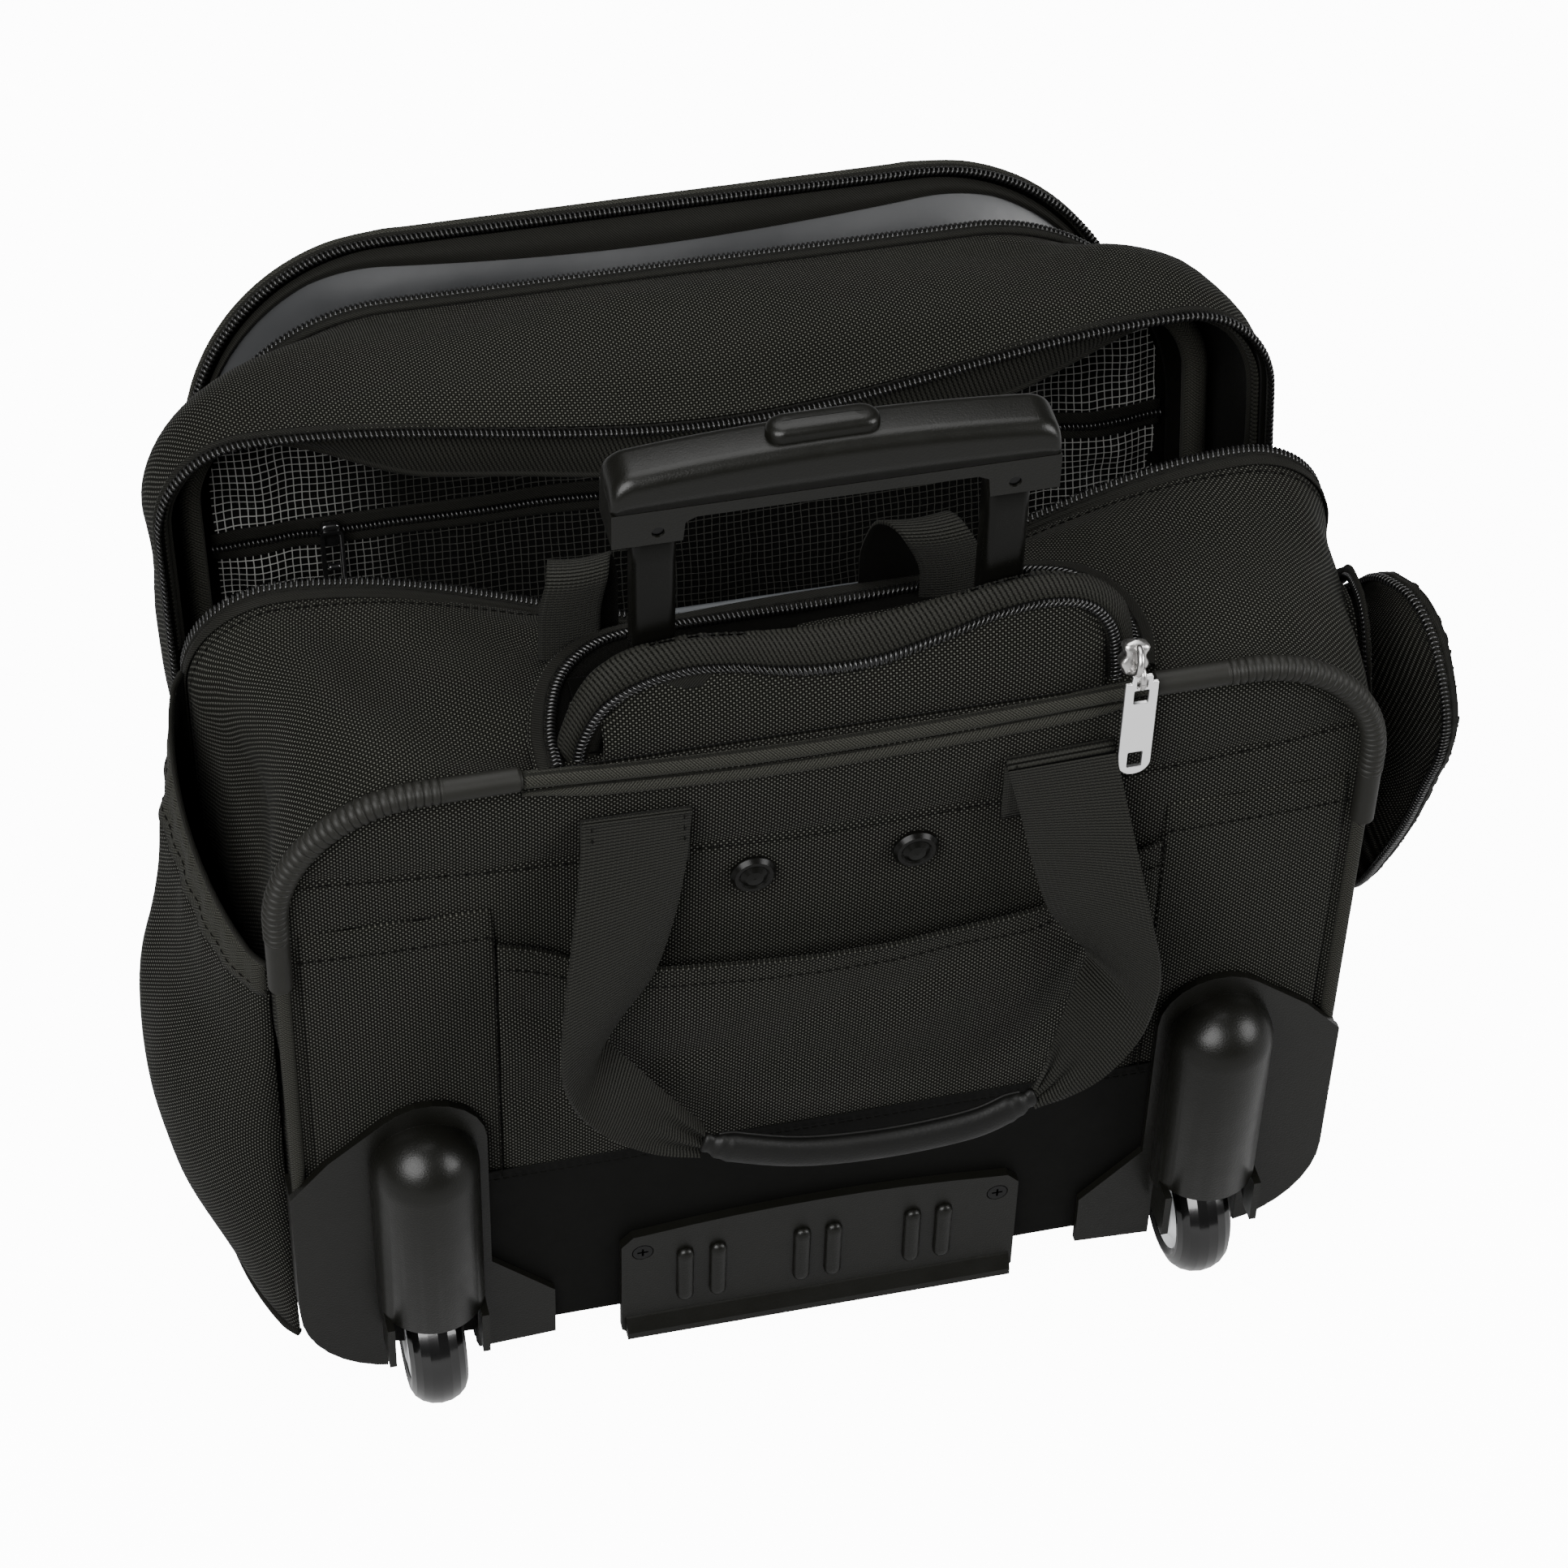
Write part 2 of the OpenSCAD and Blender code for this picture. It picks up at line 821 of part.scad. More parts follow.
module laptop_sleeve() {
  outer = [370, 30, 267];
  pad = 4;
  color([0.28, 0.3, 0.32]) placed()
    translate([-outer[0] / 2, 80, bottom_z + 5.4])
      difference() {
        cube(outer);
        translate([pad, pad, pad])
          cube([outer[0] - 2 * pad, outer[1] - 2 * pad, outer[2]]);
      }
}

module front_stand() {
  color(plastic) placed()
    slab(stand_y - 9, stand_y + 9)
      polygon([
        [-150, 0], [150, 0], [156, 6], [160, bottom_z - 0.1], [-160, bottom_z - 0.1], [-156, 6]
      ]);
}

// ---- Handle pocket ----

// Flat band along a U whose two legs end at y0 and whose rounded far side is at y1
module u_band(x0, x1, y0, y1, r, width) {
  difference() {
    union() {
      translate([x0, y0])
        square([x1 - x0, y1 - y0 - r]);
      translate([x0 + r, y1 - r - 0.01])
        square([x1 - x0 - 2 * r, r + 0.01]);
      for (x = [x0 + r, x1 - r])
        translate([x, y1 - r])
          circle(r = r);
    }
    translate([x0 + width, y0 - 1])
      square([x1 - x0 - 2 * width, y1 - y0 - r + 1]);
    translate([x0 + r, y1 - r - 1])
      square([x1 - x0 - 2 * r, r + 1 - width]);
    for (x = [x0 + r, x1 - r])
      translate([x, y1 - r])
        circle(r = r - width);
    translate([x0 - 1, y0 - 2 * r])
      square([x1 - x0 + 2, 2 * r]);
  }
}

module handle_zipper_rear() {
  color(binding) placed()
    translate([0, 0, top_z + 2.9])
      linear_extrude(2.6)
        u_band(-107, 116, 10, 62, 22, 5);
}

flap_x = [-90, 102];
flap_h = 42;

module in_flap() {
  placed()
    translate([0, flap_hinge[0], flap_hinge[1]])
      rotate([90 - flap_lean, 0, 0])
        children();
}

module handle_flap() {
  r = 20;
  color(fabric) in_flap()
    translate([0, 0, -3.2])
      linear_extrude(3.2)
        polygon(concat(
          [[flap_x[0], 1], [flap_x[1], 1]],
          arc(flap_x[1] - r, flap_h - r, r, 0, 90, 6),
          arc(flap_x[0] + r, flap_h - r, r, 90, 180, 6)
        ));
}

module handle_flap_zipper() {
  color(binding) in_flap()
    translate([0, 0, -2.8])
      linear_extrude(2.4)
        u_band(flap_x[0] - 5.4, flap_x[1] + 5.4, 5.6, flap_h + 5.4, 24, 5.2);
}

module handle_zip_slider() {
  color(metal) placed()
    translate([pull_x - 6, -1, top_z + 7.8])
      cube([9, 7, 10]);
}

pull_x = flap_x[1] + 12.3;
pull_hinge = [-7.6, top_z + 14];

module zip_pull() {
  width = 13;
  length = 52;
  color([0.85, 0.85, 0.86]) placed()
    translate([pull_x, 0, 0])
      slab(-8.4, -6.8)
        difference() {
          union() {
            translate([-width / 2, pull_hinge[1] - length + 6.5])
              square([width, length - 10]);
            translate([0, pull_hinge[1] - length + 6.5])
              circle(r = width / 2);
            translate([-4, pull_hinge[1] - 8])
              square([8, 8]);
          }
          translate([-2.2, pull_hinge[1] - 6])
            square([4.4, 4.5]);
          translate([-3, pull_hinge[1] - 14])
            square([6, 7]);
          translate([-3, pull_hinge[1] - length + 4])
            square([6, 8]);
        }
}

// ---- Side pockets ----

// X of the side of the bag at depth y
function side_x(y) = lookup(y, [for (s = rear_stations) [s[0], s[1]]]);

pocket_span = [11.5, 114];
pocket_steps = 12;

// One slanted ring of the left pocket at level s from its bottom, drawn in by inset
function pocket_ring(s, inset) =
  let (
    y0 = pocket_span[0] + inset,
    y1 = pocket_span[1] - inset,
    bulge = 46 * pow(sin(30 + 130 * s), 1.5) - 6 * s,
    outer = [for (i = [0:pocket_steps]) let (t = i / pocket_steps, y = y0 + (y1 - y0) * t)
      [-side_x(y) - 2.2 - (bulge - inset) * pow(sin(180 * t), 0.7), y,
        bottom_z + 5 + inset + s * (229 + 60 * t - inset)]],
    inner = [for (i = [0:pocket_steps]) let (t = 1 - i / pocket_steps, y = y0 + (y1 - y0) * t)
      [-side_x(y) - 1 - (inset > 0 ? 0.8 : 0), y,
        bottom_z + 5 + inset + s * (229 + 60 * t - inset)]]
  )
  concat(outer, inner);

module side_pocket_left() {
  levels = [0, 0.12, 0.3, 0.5, 0.7, 0.86, 1];
  n = 2 * (pocket_steps + 1);
  tip = function(z) [for (i = [0:n - 1]) let (a = 200 - 360 * i / n) [-235 + cos(a), 60 + sin(a), z]];
  color(fabric) placed()
    loft(concat(
      [tip(bottom_z + 5)],
      [for (s = levels) pocket_ring(s, 0)],
      [for (s = reversed(levels)) pocket_ring(s, 1.6)],
      [tip(bottom_z + 6.6)]
    ));
}

// Right pocket panel, in its own frame: u from the hinge towards the back, v up, w outwards
panel_len = 86;
panel_z = [137, 319];
side_angle = atan((side_x(side_hinge[1]) - side_x(12)) / (side_hinge[1] - 12));

function side_outline(inset) =
  let (r0 = 78 - inset, r1 = 46 - inset, u1 = panel_len - inset)
  concat(
    [[inset, panel_z[0] + inset], [u1 - r0, panel_z[0] + inset]],
    arc(u1 - r0, panel_z[0] + inset + r0, r0, -80, 0, 7),
    arc(u1 - r1, panel_z[1] - inset - r1, r1, 0, 90, 6),
    [[inset, panel_z[1] - inset]]
  );

module in_side_panel() {
  placed()
    translate([side_hinge[0], side_hinge[1], 0])
      rotate([0, 0, side_open - side_angle])
        children();
}

module side_panel_right() {
  depth = 11;
  skin = 1.8;
  level = function(points, w) [for (p = points) [w, -p[0], p[1]]];
  n = len(side_outline(0));
  tip = function(w) [for (i = [0:n - 1]) let (a = 360 * i / n - 100) [w, -44 - cos(a), 232 + sin(a)]];
  color(fabric) in_side_panel()
    loft([
      tip(depth - skin),
      level(side_outline(16), depth - skin),
      level(side_outline(4 + skin), depth - 3 - skin),
      level(side_outline(skin), 1.2),
      level(side_outline(0), 1.2),
      level(side_outline(4), depth - 3),
      level(side_outline(16), depth),
      tip(depth)
    ]);
}

module side_band(u_grow, w0, w1) {
  translate([w0, 0, 0])
    rotate([90, 0, 90])
      linear_extrude(w1 - w0)
        difference() {
          polygon([for (p = side_outline(-u_grow)) [-p[0], p[1]]]);
          polygon([for (p = side_outline(5 - u_grow)) [-p[0], p[1]]]);
          translate([-20, 100])
            square([40, 300]);
        }
}

module side_zipper_outer() {
  color(binding) in_side_panel()
    side_band(0, -1.2, 1);
}

module side_zipper_inner() {
  color(binding) placed()
    translate([side_hinge[0], side_hinge[1], 0])
      rotate([0, 0, -side_angle])
        side_band(2.5, -2.9, -1.6);
}

// ---- Front half ----

module front_shell() {
  color(fabric) in_front_shell()
    tray_opening_back(front_stations, wall);
}

mesh_z = [64, 306];
mesh_zip_z = 268;

module mesh_pocket() {
  color([0.6, 0.6, 0.6, 0.6]) in_front_shell()
    slab(front_y - 9, front_y - 8.2)
      difference() {
        polygon(outline(half_w - 22, mesh_z[0], mesh_z[1], 20, 40));
        translate([-half_w, mesh_zip_z - 6])
          square([2 * half_w, 12]);
      }
}

module mesh_zipper() {
  color(binding) in_front_shell()
    translate([-half_w + 23, front_y - 9.4, mesh_zip_z - 5.8])
      cube([2 * half_w - 46, 1.6, 11.6]);
}

module mesh_zip_slider() {
  color(plastic) in_front_shell()
    translate([-161, front_y - 12.6, mesh_zip_z - 5])
      cube([9, 3, 10]);
}

module mesh_zip_pull() {
  color(plastic) in_front_shell()
    slab(front_y - 14.6, front_y - 13)
      difference() {
        translate([-160, mesh_zip_z - 22])
          square([7, 25]);
        translate([-158.5, mesh_zip_z - 20])
          square([4, 8]);
      }
}

module main_zipper_front() {
  color(binding) in_front_shell()
    zip_band(front_stations[0], zip_y, zip_y + 3, 5, 60);
}

module front_zipper_inner() {
  s = front_stations[3];
  color(binding) in_front_shell()
    difference() {
      slab(front_y + 0.2, front_y + 1.4)
        difference() {
          polygon(outline(s[1], s[2], s[3], s[4], s[5]));
          polygon(outline(s[1] - 9, s[2] + 9, s[3] - 9, s[4] - 9, s[5] - 9));
        }
      translate([-300, 0, -100])
        cube([600, 400, 250]);
    }
}

module front_panel() {
  color(fabric) in_front_panel()
    tray_opening_back(panel_stations, wall);
}

module front_zipper_outer() {
  color(binding) in_front_panel()
    zip_band(panel_stations[0], panel_y - 1.5, panel_y - 0.1, 6, 150);
}

// ---- Carry handle ----

// Middle line of each strap from its stitched top to the grip
strap_lines = [
  [[-81, -3.6, 313.5], [-85, -14, 240], [-88, -20, 180], [-66, -24, 138]],
  [[85, -3.6, 313.5], [95, -14, 240], [108, -20, 190], [98, -24, 138]]
];

// A flat strap between two points
module strap_piece(p, q, w) {
  hull()
    for (e = [p, q])
      translate(e)
        cube([w, 2, 1.5], center = true);
}

module carry_webbing() {
  color(binding) placed()
    for (line = strap_lines)
      for (i = [0:2])
        strap_piece(line[i], line[i + 1], i == 2 ? 26 : strap_w);
}

module carry_grip() {
  color([0.05, 0.05, 0.05]) placed()
    translate([16, -24, 134])
      rotate([0, 90, 0])
        linear_extrude(134, center = true)
          union() {
            square([18, 8], center = true);
            for (z = [-6, 0, 6])
              translate([z, -4])
                circle(r = 3);
          }
}

rear_shell();
back_stiffener();
rear_lining();
base_board();
bottom_panel();
lower_panel();
back_piping();
corner_guard_left();
corner_guard_right();
wheel_housing_left();
wheel_housing_right();
housing_screws();
axles();
kick_plate();
kick_plate_screws();
slip_pocket();
snap_studs();
strap_anchors();
handle_cup();
outer_tubes();
trolley_base();
main_zipper_rear();
main_zip_sliders();
side_pocket_left();
side_zipper_inner();
laptop_sleeve();
front_stand();
handle_zipper_rear();
lower_tubes();
upper_tubes();
inner_tubes();
grip_upper();
grip_lower();
grip_screws();
button_springs();
push_button();
release_linkage();
tyre_left();
hub_left();
bearings_left();
tyre_right();
hub_right();
bearings_right();
front_shell();
mesh_pocket();
mesh_zipper();
main_zipper_front();
front_zipper_inner();
mesh_zip_slider();
mesh_zip_pull();
front_panel();
front_zipper_outer();
handle_flap();
handle_flap_zipper();
handle_zip_slider();
zip_pull();
side_panel_right();
side_zipper_outer();
carry_webbing();
carry_grip();
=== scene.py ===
import json
import math

import bpy
import numpy as np
from mathutils import Matrix, Vector


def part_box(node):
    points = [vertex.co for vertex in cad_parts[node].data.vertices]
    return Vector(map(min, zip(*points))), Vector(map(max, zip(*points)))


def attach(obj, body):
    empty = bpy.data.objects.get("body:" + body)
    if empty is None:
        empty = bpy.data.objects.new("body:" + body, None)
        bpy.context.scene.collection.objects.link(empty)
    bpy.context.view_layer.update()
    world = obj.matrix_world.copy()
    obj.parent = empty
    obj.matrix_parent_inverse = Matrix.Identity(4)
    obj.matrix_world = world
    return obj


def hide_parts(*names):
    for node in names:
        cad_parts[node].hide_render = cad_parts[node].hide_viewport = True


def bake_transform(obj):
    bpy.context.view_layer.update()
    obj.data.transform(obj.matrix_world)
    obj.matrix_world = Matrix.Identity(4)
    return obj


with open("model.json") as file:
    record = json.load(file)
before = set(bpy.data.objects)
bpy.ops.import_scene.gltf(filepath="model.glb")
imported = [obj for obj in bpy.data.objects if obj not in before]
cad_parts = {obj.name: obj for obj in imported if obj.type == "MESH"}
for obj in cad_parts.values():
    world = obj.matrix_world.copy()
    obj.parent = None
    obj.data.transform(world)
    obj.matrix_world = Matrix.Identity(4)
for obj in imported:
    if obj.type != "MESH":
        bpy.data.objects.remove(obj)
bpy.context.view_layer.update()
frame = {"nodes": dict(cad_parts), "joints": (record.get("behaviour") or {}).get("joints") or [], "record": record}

MM = 0.001
JOINTS = {joint["name"]: joint for joint in frame["joints"]}

# ---- Driving sizes, read from the frame ----

BACK_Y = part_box("rear_shell")[0].y


def cad_mm(node):
    """Lowest and highest corner of a CAD node, in millimetres from the back panel."""
    low, high = (np.array(corner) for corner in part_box(node))
    shift = np.array([0.0, BACK_Y, 0.0])
    return (low - shift) / MM, (high - shift) / MM


GUARD_R = 5.3
HALF_W = cad_mm("corner_guard_right")[1][0] - GUARD_R
TOP_Z = cad_mm("corner_guard_right")[1][2] - GUARD_R - 2
GUARD_BEND = 57
GUARD_END = cad_mm("corner_guard_right")[0][0]
BOTTOM_Z = cad_mm("rear_shell")[0][2]
REAR_DEPTH = cad_mm("rear_shell")[1][1]
ZIP_Y = REAR_DEPTH + 3.6
FRONT_Y = ZIP_Y + 83.4
PANEL_Y = FRONT_Y + 3
REAR_SAG = 52
FRONT_SAG = 20
CAD_POST = (20.0, 12.0)
CUP_RIM = 1.5


# ---- Placing ----

def place(points):
    """Millimetres in the case's own layout to metres in the frame."""
    return np.asarray(points, float) * MM + np.array([0.0, BACK_Y, 0.0])


def tip(points, hinge, degrees):
    """Tips points forward by an angle about a line along x through hinge (y, z)."""
    points = np.asarray(points, float)
    angle = math.radians(degrees)
    y = points[..., 1] - hinge[0]
    z = points[..., 2] - hinge[1]
    return np.stack([
        points[..., 0],
        hinge[0] + y * math.cos(angle) + z * math.sin(angle),
        hinge[1] - y * math.sin(angle) + z * math.cos(angle),
    ], axis=-1)


def joint_line(name):
    """Where a joint along x runs, as (y, z) in millimetres."""
    pos = JOINTS[name]["pos_m"]
    return (pos[1] - BACK_Y) / MM, pos[2] / MM


FRONT_HINGE = joint_line("front_half_tip")
FRONT_OPEN = -JOINTS["front_half_tip"]["range_deg"][0]
PANEL_OPEN = -JOINTS["front_pocket_tip"]["range_deg"][0]
PANEL_HINGE = tuple(tip([0, *joint_line("front_pocket_tip")], FRONT_HINGE, -FRONT_OPEN)[1:])


def in_rear(points):
    return place(points)


def in_front(points):
    return place(tip(points, FRONT_HINGE, FRONT_OPEN))


def in_panel(points):
    return place(tip(tip(points, PANEL_HINGE, PANEL_OPEN), FRONT_HINGE, FRONT_OPEN))


# ---- Mesh tools ----

def new_mesh(name, vertices, quads, uv=None, smooth=True):
    """A mesh object from arrays; uv holds one pair per vertex, in metres of cloth."""
    vertices = np.asarray(vertices, np.float32)
    quads = np.asarray(quads, np.int32)
    mesh = bpy.data.meshes.new(name)
    mesh.vertices.add(len(vertices))
    mesh.vertices.foreach_set("co", vertices.ravel())
    mesh.loops.add(quads.size)
    mesh.loops.foreach_set("vertex_index", quads.ravel())
    mesh.polygons.add(len(quads))
    mesh.polygons.foreach_set("loop_start", np.arange(len(quads), dtype=np.int32) * quads.shape[1])
    mesh.polygons.foreach_set("use_smooth", np.full(len(quads), smooth))
    if uv is not None:
        layer = mesh.uv_layers.new(name="cloth")
        layer.data.foreach_set("uv", np.asarray(uv, np.float32)[quads.ravel()].ravel())
    mesh.update(calc_edges=True)
    mesh.validate()
    obj = bpy.data.objects.new(name, mesh)
    bpy.context.scene.collection.objects.link(obj)
    return obj


def grid_quads(rows, columns, closed=False, flip=False):
    wide = columns if closed else columns - 1
    r, c = np.meshgrid(np.arange(rows - 1), np.arange(wide), indexing="ij")
    a = r * columns + c
    b = r * columns + (c + 1) % columns
    quads = np.stack([a, a + columns, b + columns, b], axis=-1).reshape(-1, 4)
    return quads[:, ::-1] if flip else quads


def cloth_uv(points):
    """Distance along the columns and rows of a grid, from its middle, in metres."""
    across = np.linalg.norm(np.diff(points, axis=1), axis=2)
    along = np.linalg.norm(np.diff(points, axis=0), axis=2)
    u = np.concatenate([np.zeros((len(points), 1)), np.cumsum(across, axis=1)], axis=1)
    v = np.concatenate([np.zeros((1, points.shape[1])), np.cumsum(along, axis=0)], axis=0)
    u -= u[:, points.shape[1] // 2][:, None]
    return np.stack([u, v], axis=-1)


def finish(obj, body, materials, replaces=(), thick=0.0):
    """Gives a piece its materials, thickness and body, and hides the CAD parts it replaces."""
    for material in materials:
        obj.data.materials.append(material)
    if thick:
        solid = obj.modifiers.new("thickness", "SOLIDIFY")
        solid.thickness = thick * MM
        solid.offset = -1
        solid.material_offset = 1 if len(materials) > 1 else 0
    if body:
        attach(obj, body)
    if replaces:
        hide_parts(*replaces)
    return obj


def sheet(name, points, body, materials, closed=False, flip=False, thick=1.5, replaces=(), uv=None,
          opening=None):
    """A sheet of cloth through a grid of points in metres; opening says which points lie inside a cut."""
    points = np.asarray(points, float)
    rows, columns = points.shape[:2]
    if uv is None:
        uv = cloth_uv(points)
    vertices, uv = points.reshape(-1, 3), uv.reshape(-1, 2)
    quads = grid_quads(rows, columns, closed, flip)
    if opening is not None:
        quads = quads[~opening.reshape(-1)[quads].all(axis=1)]
        used, quads = np.unique(quads, return_inverse=True)
        vertices, uv, quads = vertices[used], uv[used], quads.reshape(-1, 4)
    obj = new_mesh(name, vertices, quads, uv)
    return finish(obj, body, materials, replaces, thick)


def join(name, objects):
    """Joins pieces into the first one."""
    for obj in objects:
        for modifier in list(obj.modifiers):
            apply_modifier(obj, modifier.name)
    with bpy.context.temp_override(active_object=objects[0], selected_editable_objects=objects):
        bpy.ops.object.join()
    objects[0].name = name
    objects[0].data.name = name
    return objects[0]


def apply_modifier(obj, name):
    with bpy.context.temp_override(object=obj, active_object=obj, selected_objects=[obj]):
        bpy.ops.object.modifier_apply(modifier=name)


def smooth_curve(points, count, closed=False):
    """A smooth curve through points, with count points at equal distances."""
    points = np.asarray(points, float)
    n = len(points)
    fine = []
    for i in range(n if closed else n - 1):
        if closed:
            a, b, c, d = (points[(i + k) % n] for k in (-1, 0, 1, 2))
        else:
            a, b, c, d = (points[min(max(i + k, 0), n - 1)] for k in (-1, 0, 1, 2))
        t = np.linspace(0, 1, 24, endpoint=False)[:, None]
        fine.append(0.5 * (2 * b + (c - a) * t + (2 * a - 5 * b + 4 * c - d) * t ** 2
                           + (3 * b - a - 3 * c + d) * t ** 3))
    fine.append((points[0] if closed else points[-1])[None])
    return resample(np.concatenate(fine), count)


def lengths(path):
    return np.concatenate([[0.0], np.cumsum(np.linalg.norm(np.diff(path, axis=0), axis=1))])


def resample(path, count):
    distance = lengths(path)
    wanted = np.linspace(0, distance[-1], count)
    return np.stack([np.interp(wanted, distance, path[:, k]) for k in range(path.shape[1])], axis=1)


def unit(vectors):
    return vectors / np.maximum(np.linalg.norm(vectors, axis=-1, keepdims=True), 1e-9)


def directions(path):
    return unit(np.gradient(path, axis=0))


def tube(name, path, radius, body, material, sides=16, flat=1.0, up=(0, 0, 1), twist=0.0,
         capped=True, replaces=()):
    """A round or flattened cord along a path in metres; radius is one number or one per point."""
    path = np.asarray(path, float)
    forward = directions(path)
    up = np.broadcast_to(np.asarray(up, float), path.shape)
    side = unit(np.cross(forward, up))
    lift = np.cross(side, forward)
    radius = np.broadcast_to(np.asarray(radius, float), (len(path),))[:, None, None]
    angle = np.linspace(0, 2 * math.pi, sides, endpoint=False) + twist
    ring = np.cos(angle)[None, :, None] * side[:, None] + flat * np.sin(angle)[None, :, None] * lift[:, None]
    points = path[:, None] + ring * radius
    if capped:
        start = points[:1] * 0.02 + path[:1, None] * 0.98
        end = points[-1:] * 0.02 + path[-1:, None] * 0.98
        points = np.concatenate([start, points, end])
    rows = len(points)
    u = np.broadcast_to((angle * float(radius.mean()))[None, :], (rows, sides))
    along = np.linalg.norm(np.diff(points.mean(axis=1), axis=0), axis=1)
    v = np.broadcast_to(np.concatenate([[0], np.cumsum(along)])[:, None], (rows, sides))
    obj = new_mesh(name, points.reshape(-1, 3), grid_quads(rows, sides, closed=True),
                   np.stack([u, v], axis=-1).reshape(-1, 2))
    return finish(obj, body, [material], replaces)


def ripples(points, size, seed, count=10):
    """Soft random relief from about -1 to 1; size is the size of one wrinkle in millimetres."""
    rng = np.random.default_rng(seed)
    total = np.zeros(points.shape[:-1])
    for _ in range(count):
        heading = rng.normal(size=3)
        heading /= np.linalg.norm(heading)
        wave = size * rng.uniform(0.6, 1.9)
        total += np.sin(points @ heading * (2 * math.pi / wave) + rng.uniform(0, 2 * math.pi))
    return total / math.sqrt(count) / 1.3


def grid_normals(points, closed=False):
    along = np.gradient(points, axis=0)
    if closed:
        across = np.roll(points, -1, axis=1) - np.roll(points, 1, axis=1)
    else:
        across = np.gradient(points, axis=1)
    return unit(np.cross(along, across))


def bump_at(values, centre, width):
    """1 at centre, falling smoothly to 0 about width away."""
    return np.exp(-((values - centre) / width) ** 2)


def rise(values, start, end):
    """0 before start, 1 after end, smooth between."""
    t = np.clip((values - start) / (end - start), 0, 1)
    return t * t * (3 - 2 * t)


# ---- Materials ----

class Shader:
    """Builds one node material a step at a time."""

    def __init__(self, name):
        self.material = bpy.data.materials.new(name)
        self.material.use_nodes = True
        self.tree = self.material.node_tree
        self.surface = self.tree.nodes["Principled BSDF"]

    def link(self, target, value):
        if isinstance(value, bpy.types.NodeSocket):
            self.tree.links.new(value, target)
        elif isinstance(value, (tuple, list)) and len(value) == 3 and target.type == "RGBA":
            target.default_value = (*value, 1)
        else:
            target.default_value = value

    def node(self, kind, settings=None, **inputs):
        made = self.tree.nodes.new(kind)
        for key, value in (settings or {}).items():
            setattr(made, key, value)
        for key, value in inputs.items():
            self.link(made.inputs[key.replace("_", " ")], value)
        return made

    def math(self, operation, a, b=0.0, clamp=False):
        made = self.tree.nodes.new("ShaderNodeMath")
        made.operation = operation
        made.use_clamp = clamp
        self.link(made.inputs[0], a)
        self.link(made.inputs[1], b)
        return made.outputs[0]

    def mix(self, factor, a, b):
        made = self.tree.nodes.new("ShaderNodeMix")
        made.data_type = "RGBA"
        self.link(made.inputs[0], factor)
        self.link(made.inputs[6], a)
        self.link(made.inputs[7], b)
        return made.outputs[2]

    def noise(self, scale, detail=3.0, where="Object"):
        coordinates = self.node("ShaderNodeTexCoord").outputs[where]
        return self.node("ShaderNodeTexNoise", Vector=coordinates, Scale=scale, Detail=detail).outputs["Fac"]

    def scaled(self, value, low, high):
        made = self.tree.nodes.new("ShaderNodeMapRange")
        self.link(made.inputs[0], value)
        made.inputs[3].default_value = low
        made.inputs[4].default_value = high
        return made.outputs[0]

    def cloth(self):
        """The cloth coordinates u and v in millimetres."""
        uv = self.node("ShaderNodeUVMap", {"uv_map": "cloth"}).outputs[0]
        parts = self.node("ShaderNodeSeparateXYZ", Vector=uv)
        return self.math("DIVIDE", parts.outputs[0], MM), self.math("DIVIDE", parts.outputs[1], MM)

    def wave(self, value, period):
        return self.math("SINE", self.math("MULTIPLY", value, 2 * math.pi / period))

    def bump(self, height, depth, strength=1.0, over=None):
        made = self.node("ShaderNodeBump", Height=height, Distance=depth * MM, Strength=strength)
        if over is not None:
            self.link(made.inputs["Normal"], over)
        return made.outputs[0]

    def set(self, **inputs):
        for key, value in inputs.items():
            self.link(self.surface.inputs[key.replace("_", " ")], value)
        return self.material


def beads(shader, u, v, width, height):
    """Relief of a plain weave: threads that cross over at every second cell stand up as beads."""
    weave = shader.math("MULTIPLY", shader.wave(u, 2 * width), shader.wave(v, 2 * height))
    over = shader.math("POWER", shader.math("MAXIMUM", weave, 0.0), 1.6)
    under = shader.math("POWER", shader.math("MAXIMUM", shader.math("MULTIPLY", weave, -1.0), 0.0), 1.6)
    return shader.math("ADD", over, shader.math("MULTIPLY", under, 0.12))


def fabric(name, dark, light, relief, depth, rough=(0.5, 0.72), sheen=0.01, wear=0.03,
           gloss=0.1):
    """A woven cloth whose relief function gives the height of its threads from 0 to 1; its colour follows that height,
    a painted highlight on the raised threads and painted shade in the gaps.
    """
    shader = Shader(name)
    u, v = shader.cloth()
    height = relief(shader, u, v)
    patch = shader.noise(9.0, 4.0)
    # painted light: the raised threads take the light colour as a painted highlight, the gaps the dark colour as
    # painted shade
    shade = shader.mix(height, dark, light)
    # real wear in random patches, laid over the painted weave highlight and shade
    weave_light_and_wear = shader.mix(shader.scaled(patch, 0.0, wear), shade, tuple(c * 1.7 for c in light))
    fibre = shader.noise(900.0, 2.0)
    normal = shader.bump(height, depth, 0.9)
    fuzzy = shader.bump(fibre, 0.05, 0.35, normal)
    return shader.set(
        Base_Color=weave_light_and_wear,
        Roughness=shader.scaled(shader.noise(60.0, 3.0), *rough),
        Sheen_Weight=sheen,
        Sheen_Roughness=0.45,
        Specular_IOR_Level=shader.scaled(height, 0.0, gloss),
        Normal=fuzzy,
    )


def ballistic_relief(shader, u, v):
    return beads(shader, u, v, 1.15, 1.05)


def twill_relief(shader, u, v):
    slant = shader.math("ADD", u, v)
    ridge = shader.math("ABSOLUTE", shader.wave(slant, 2.4))
    thread = shader.math("ABSOLUTE", shader.wave(shader.math("SUBTRACT", u, v), 1.2))
    return shader.math("ADD", shader.math("MULTIPLY", ridge, 0.75), shader.math("MULTIPLY", thread, 0.25))


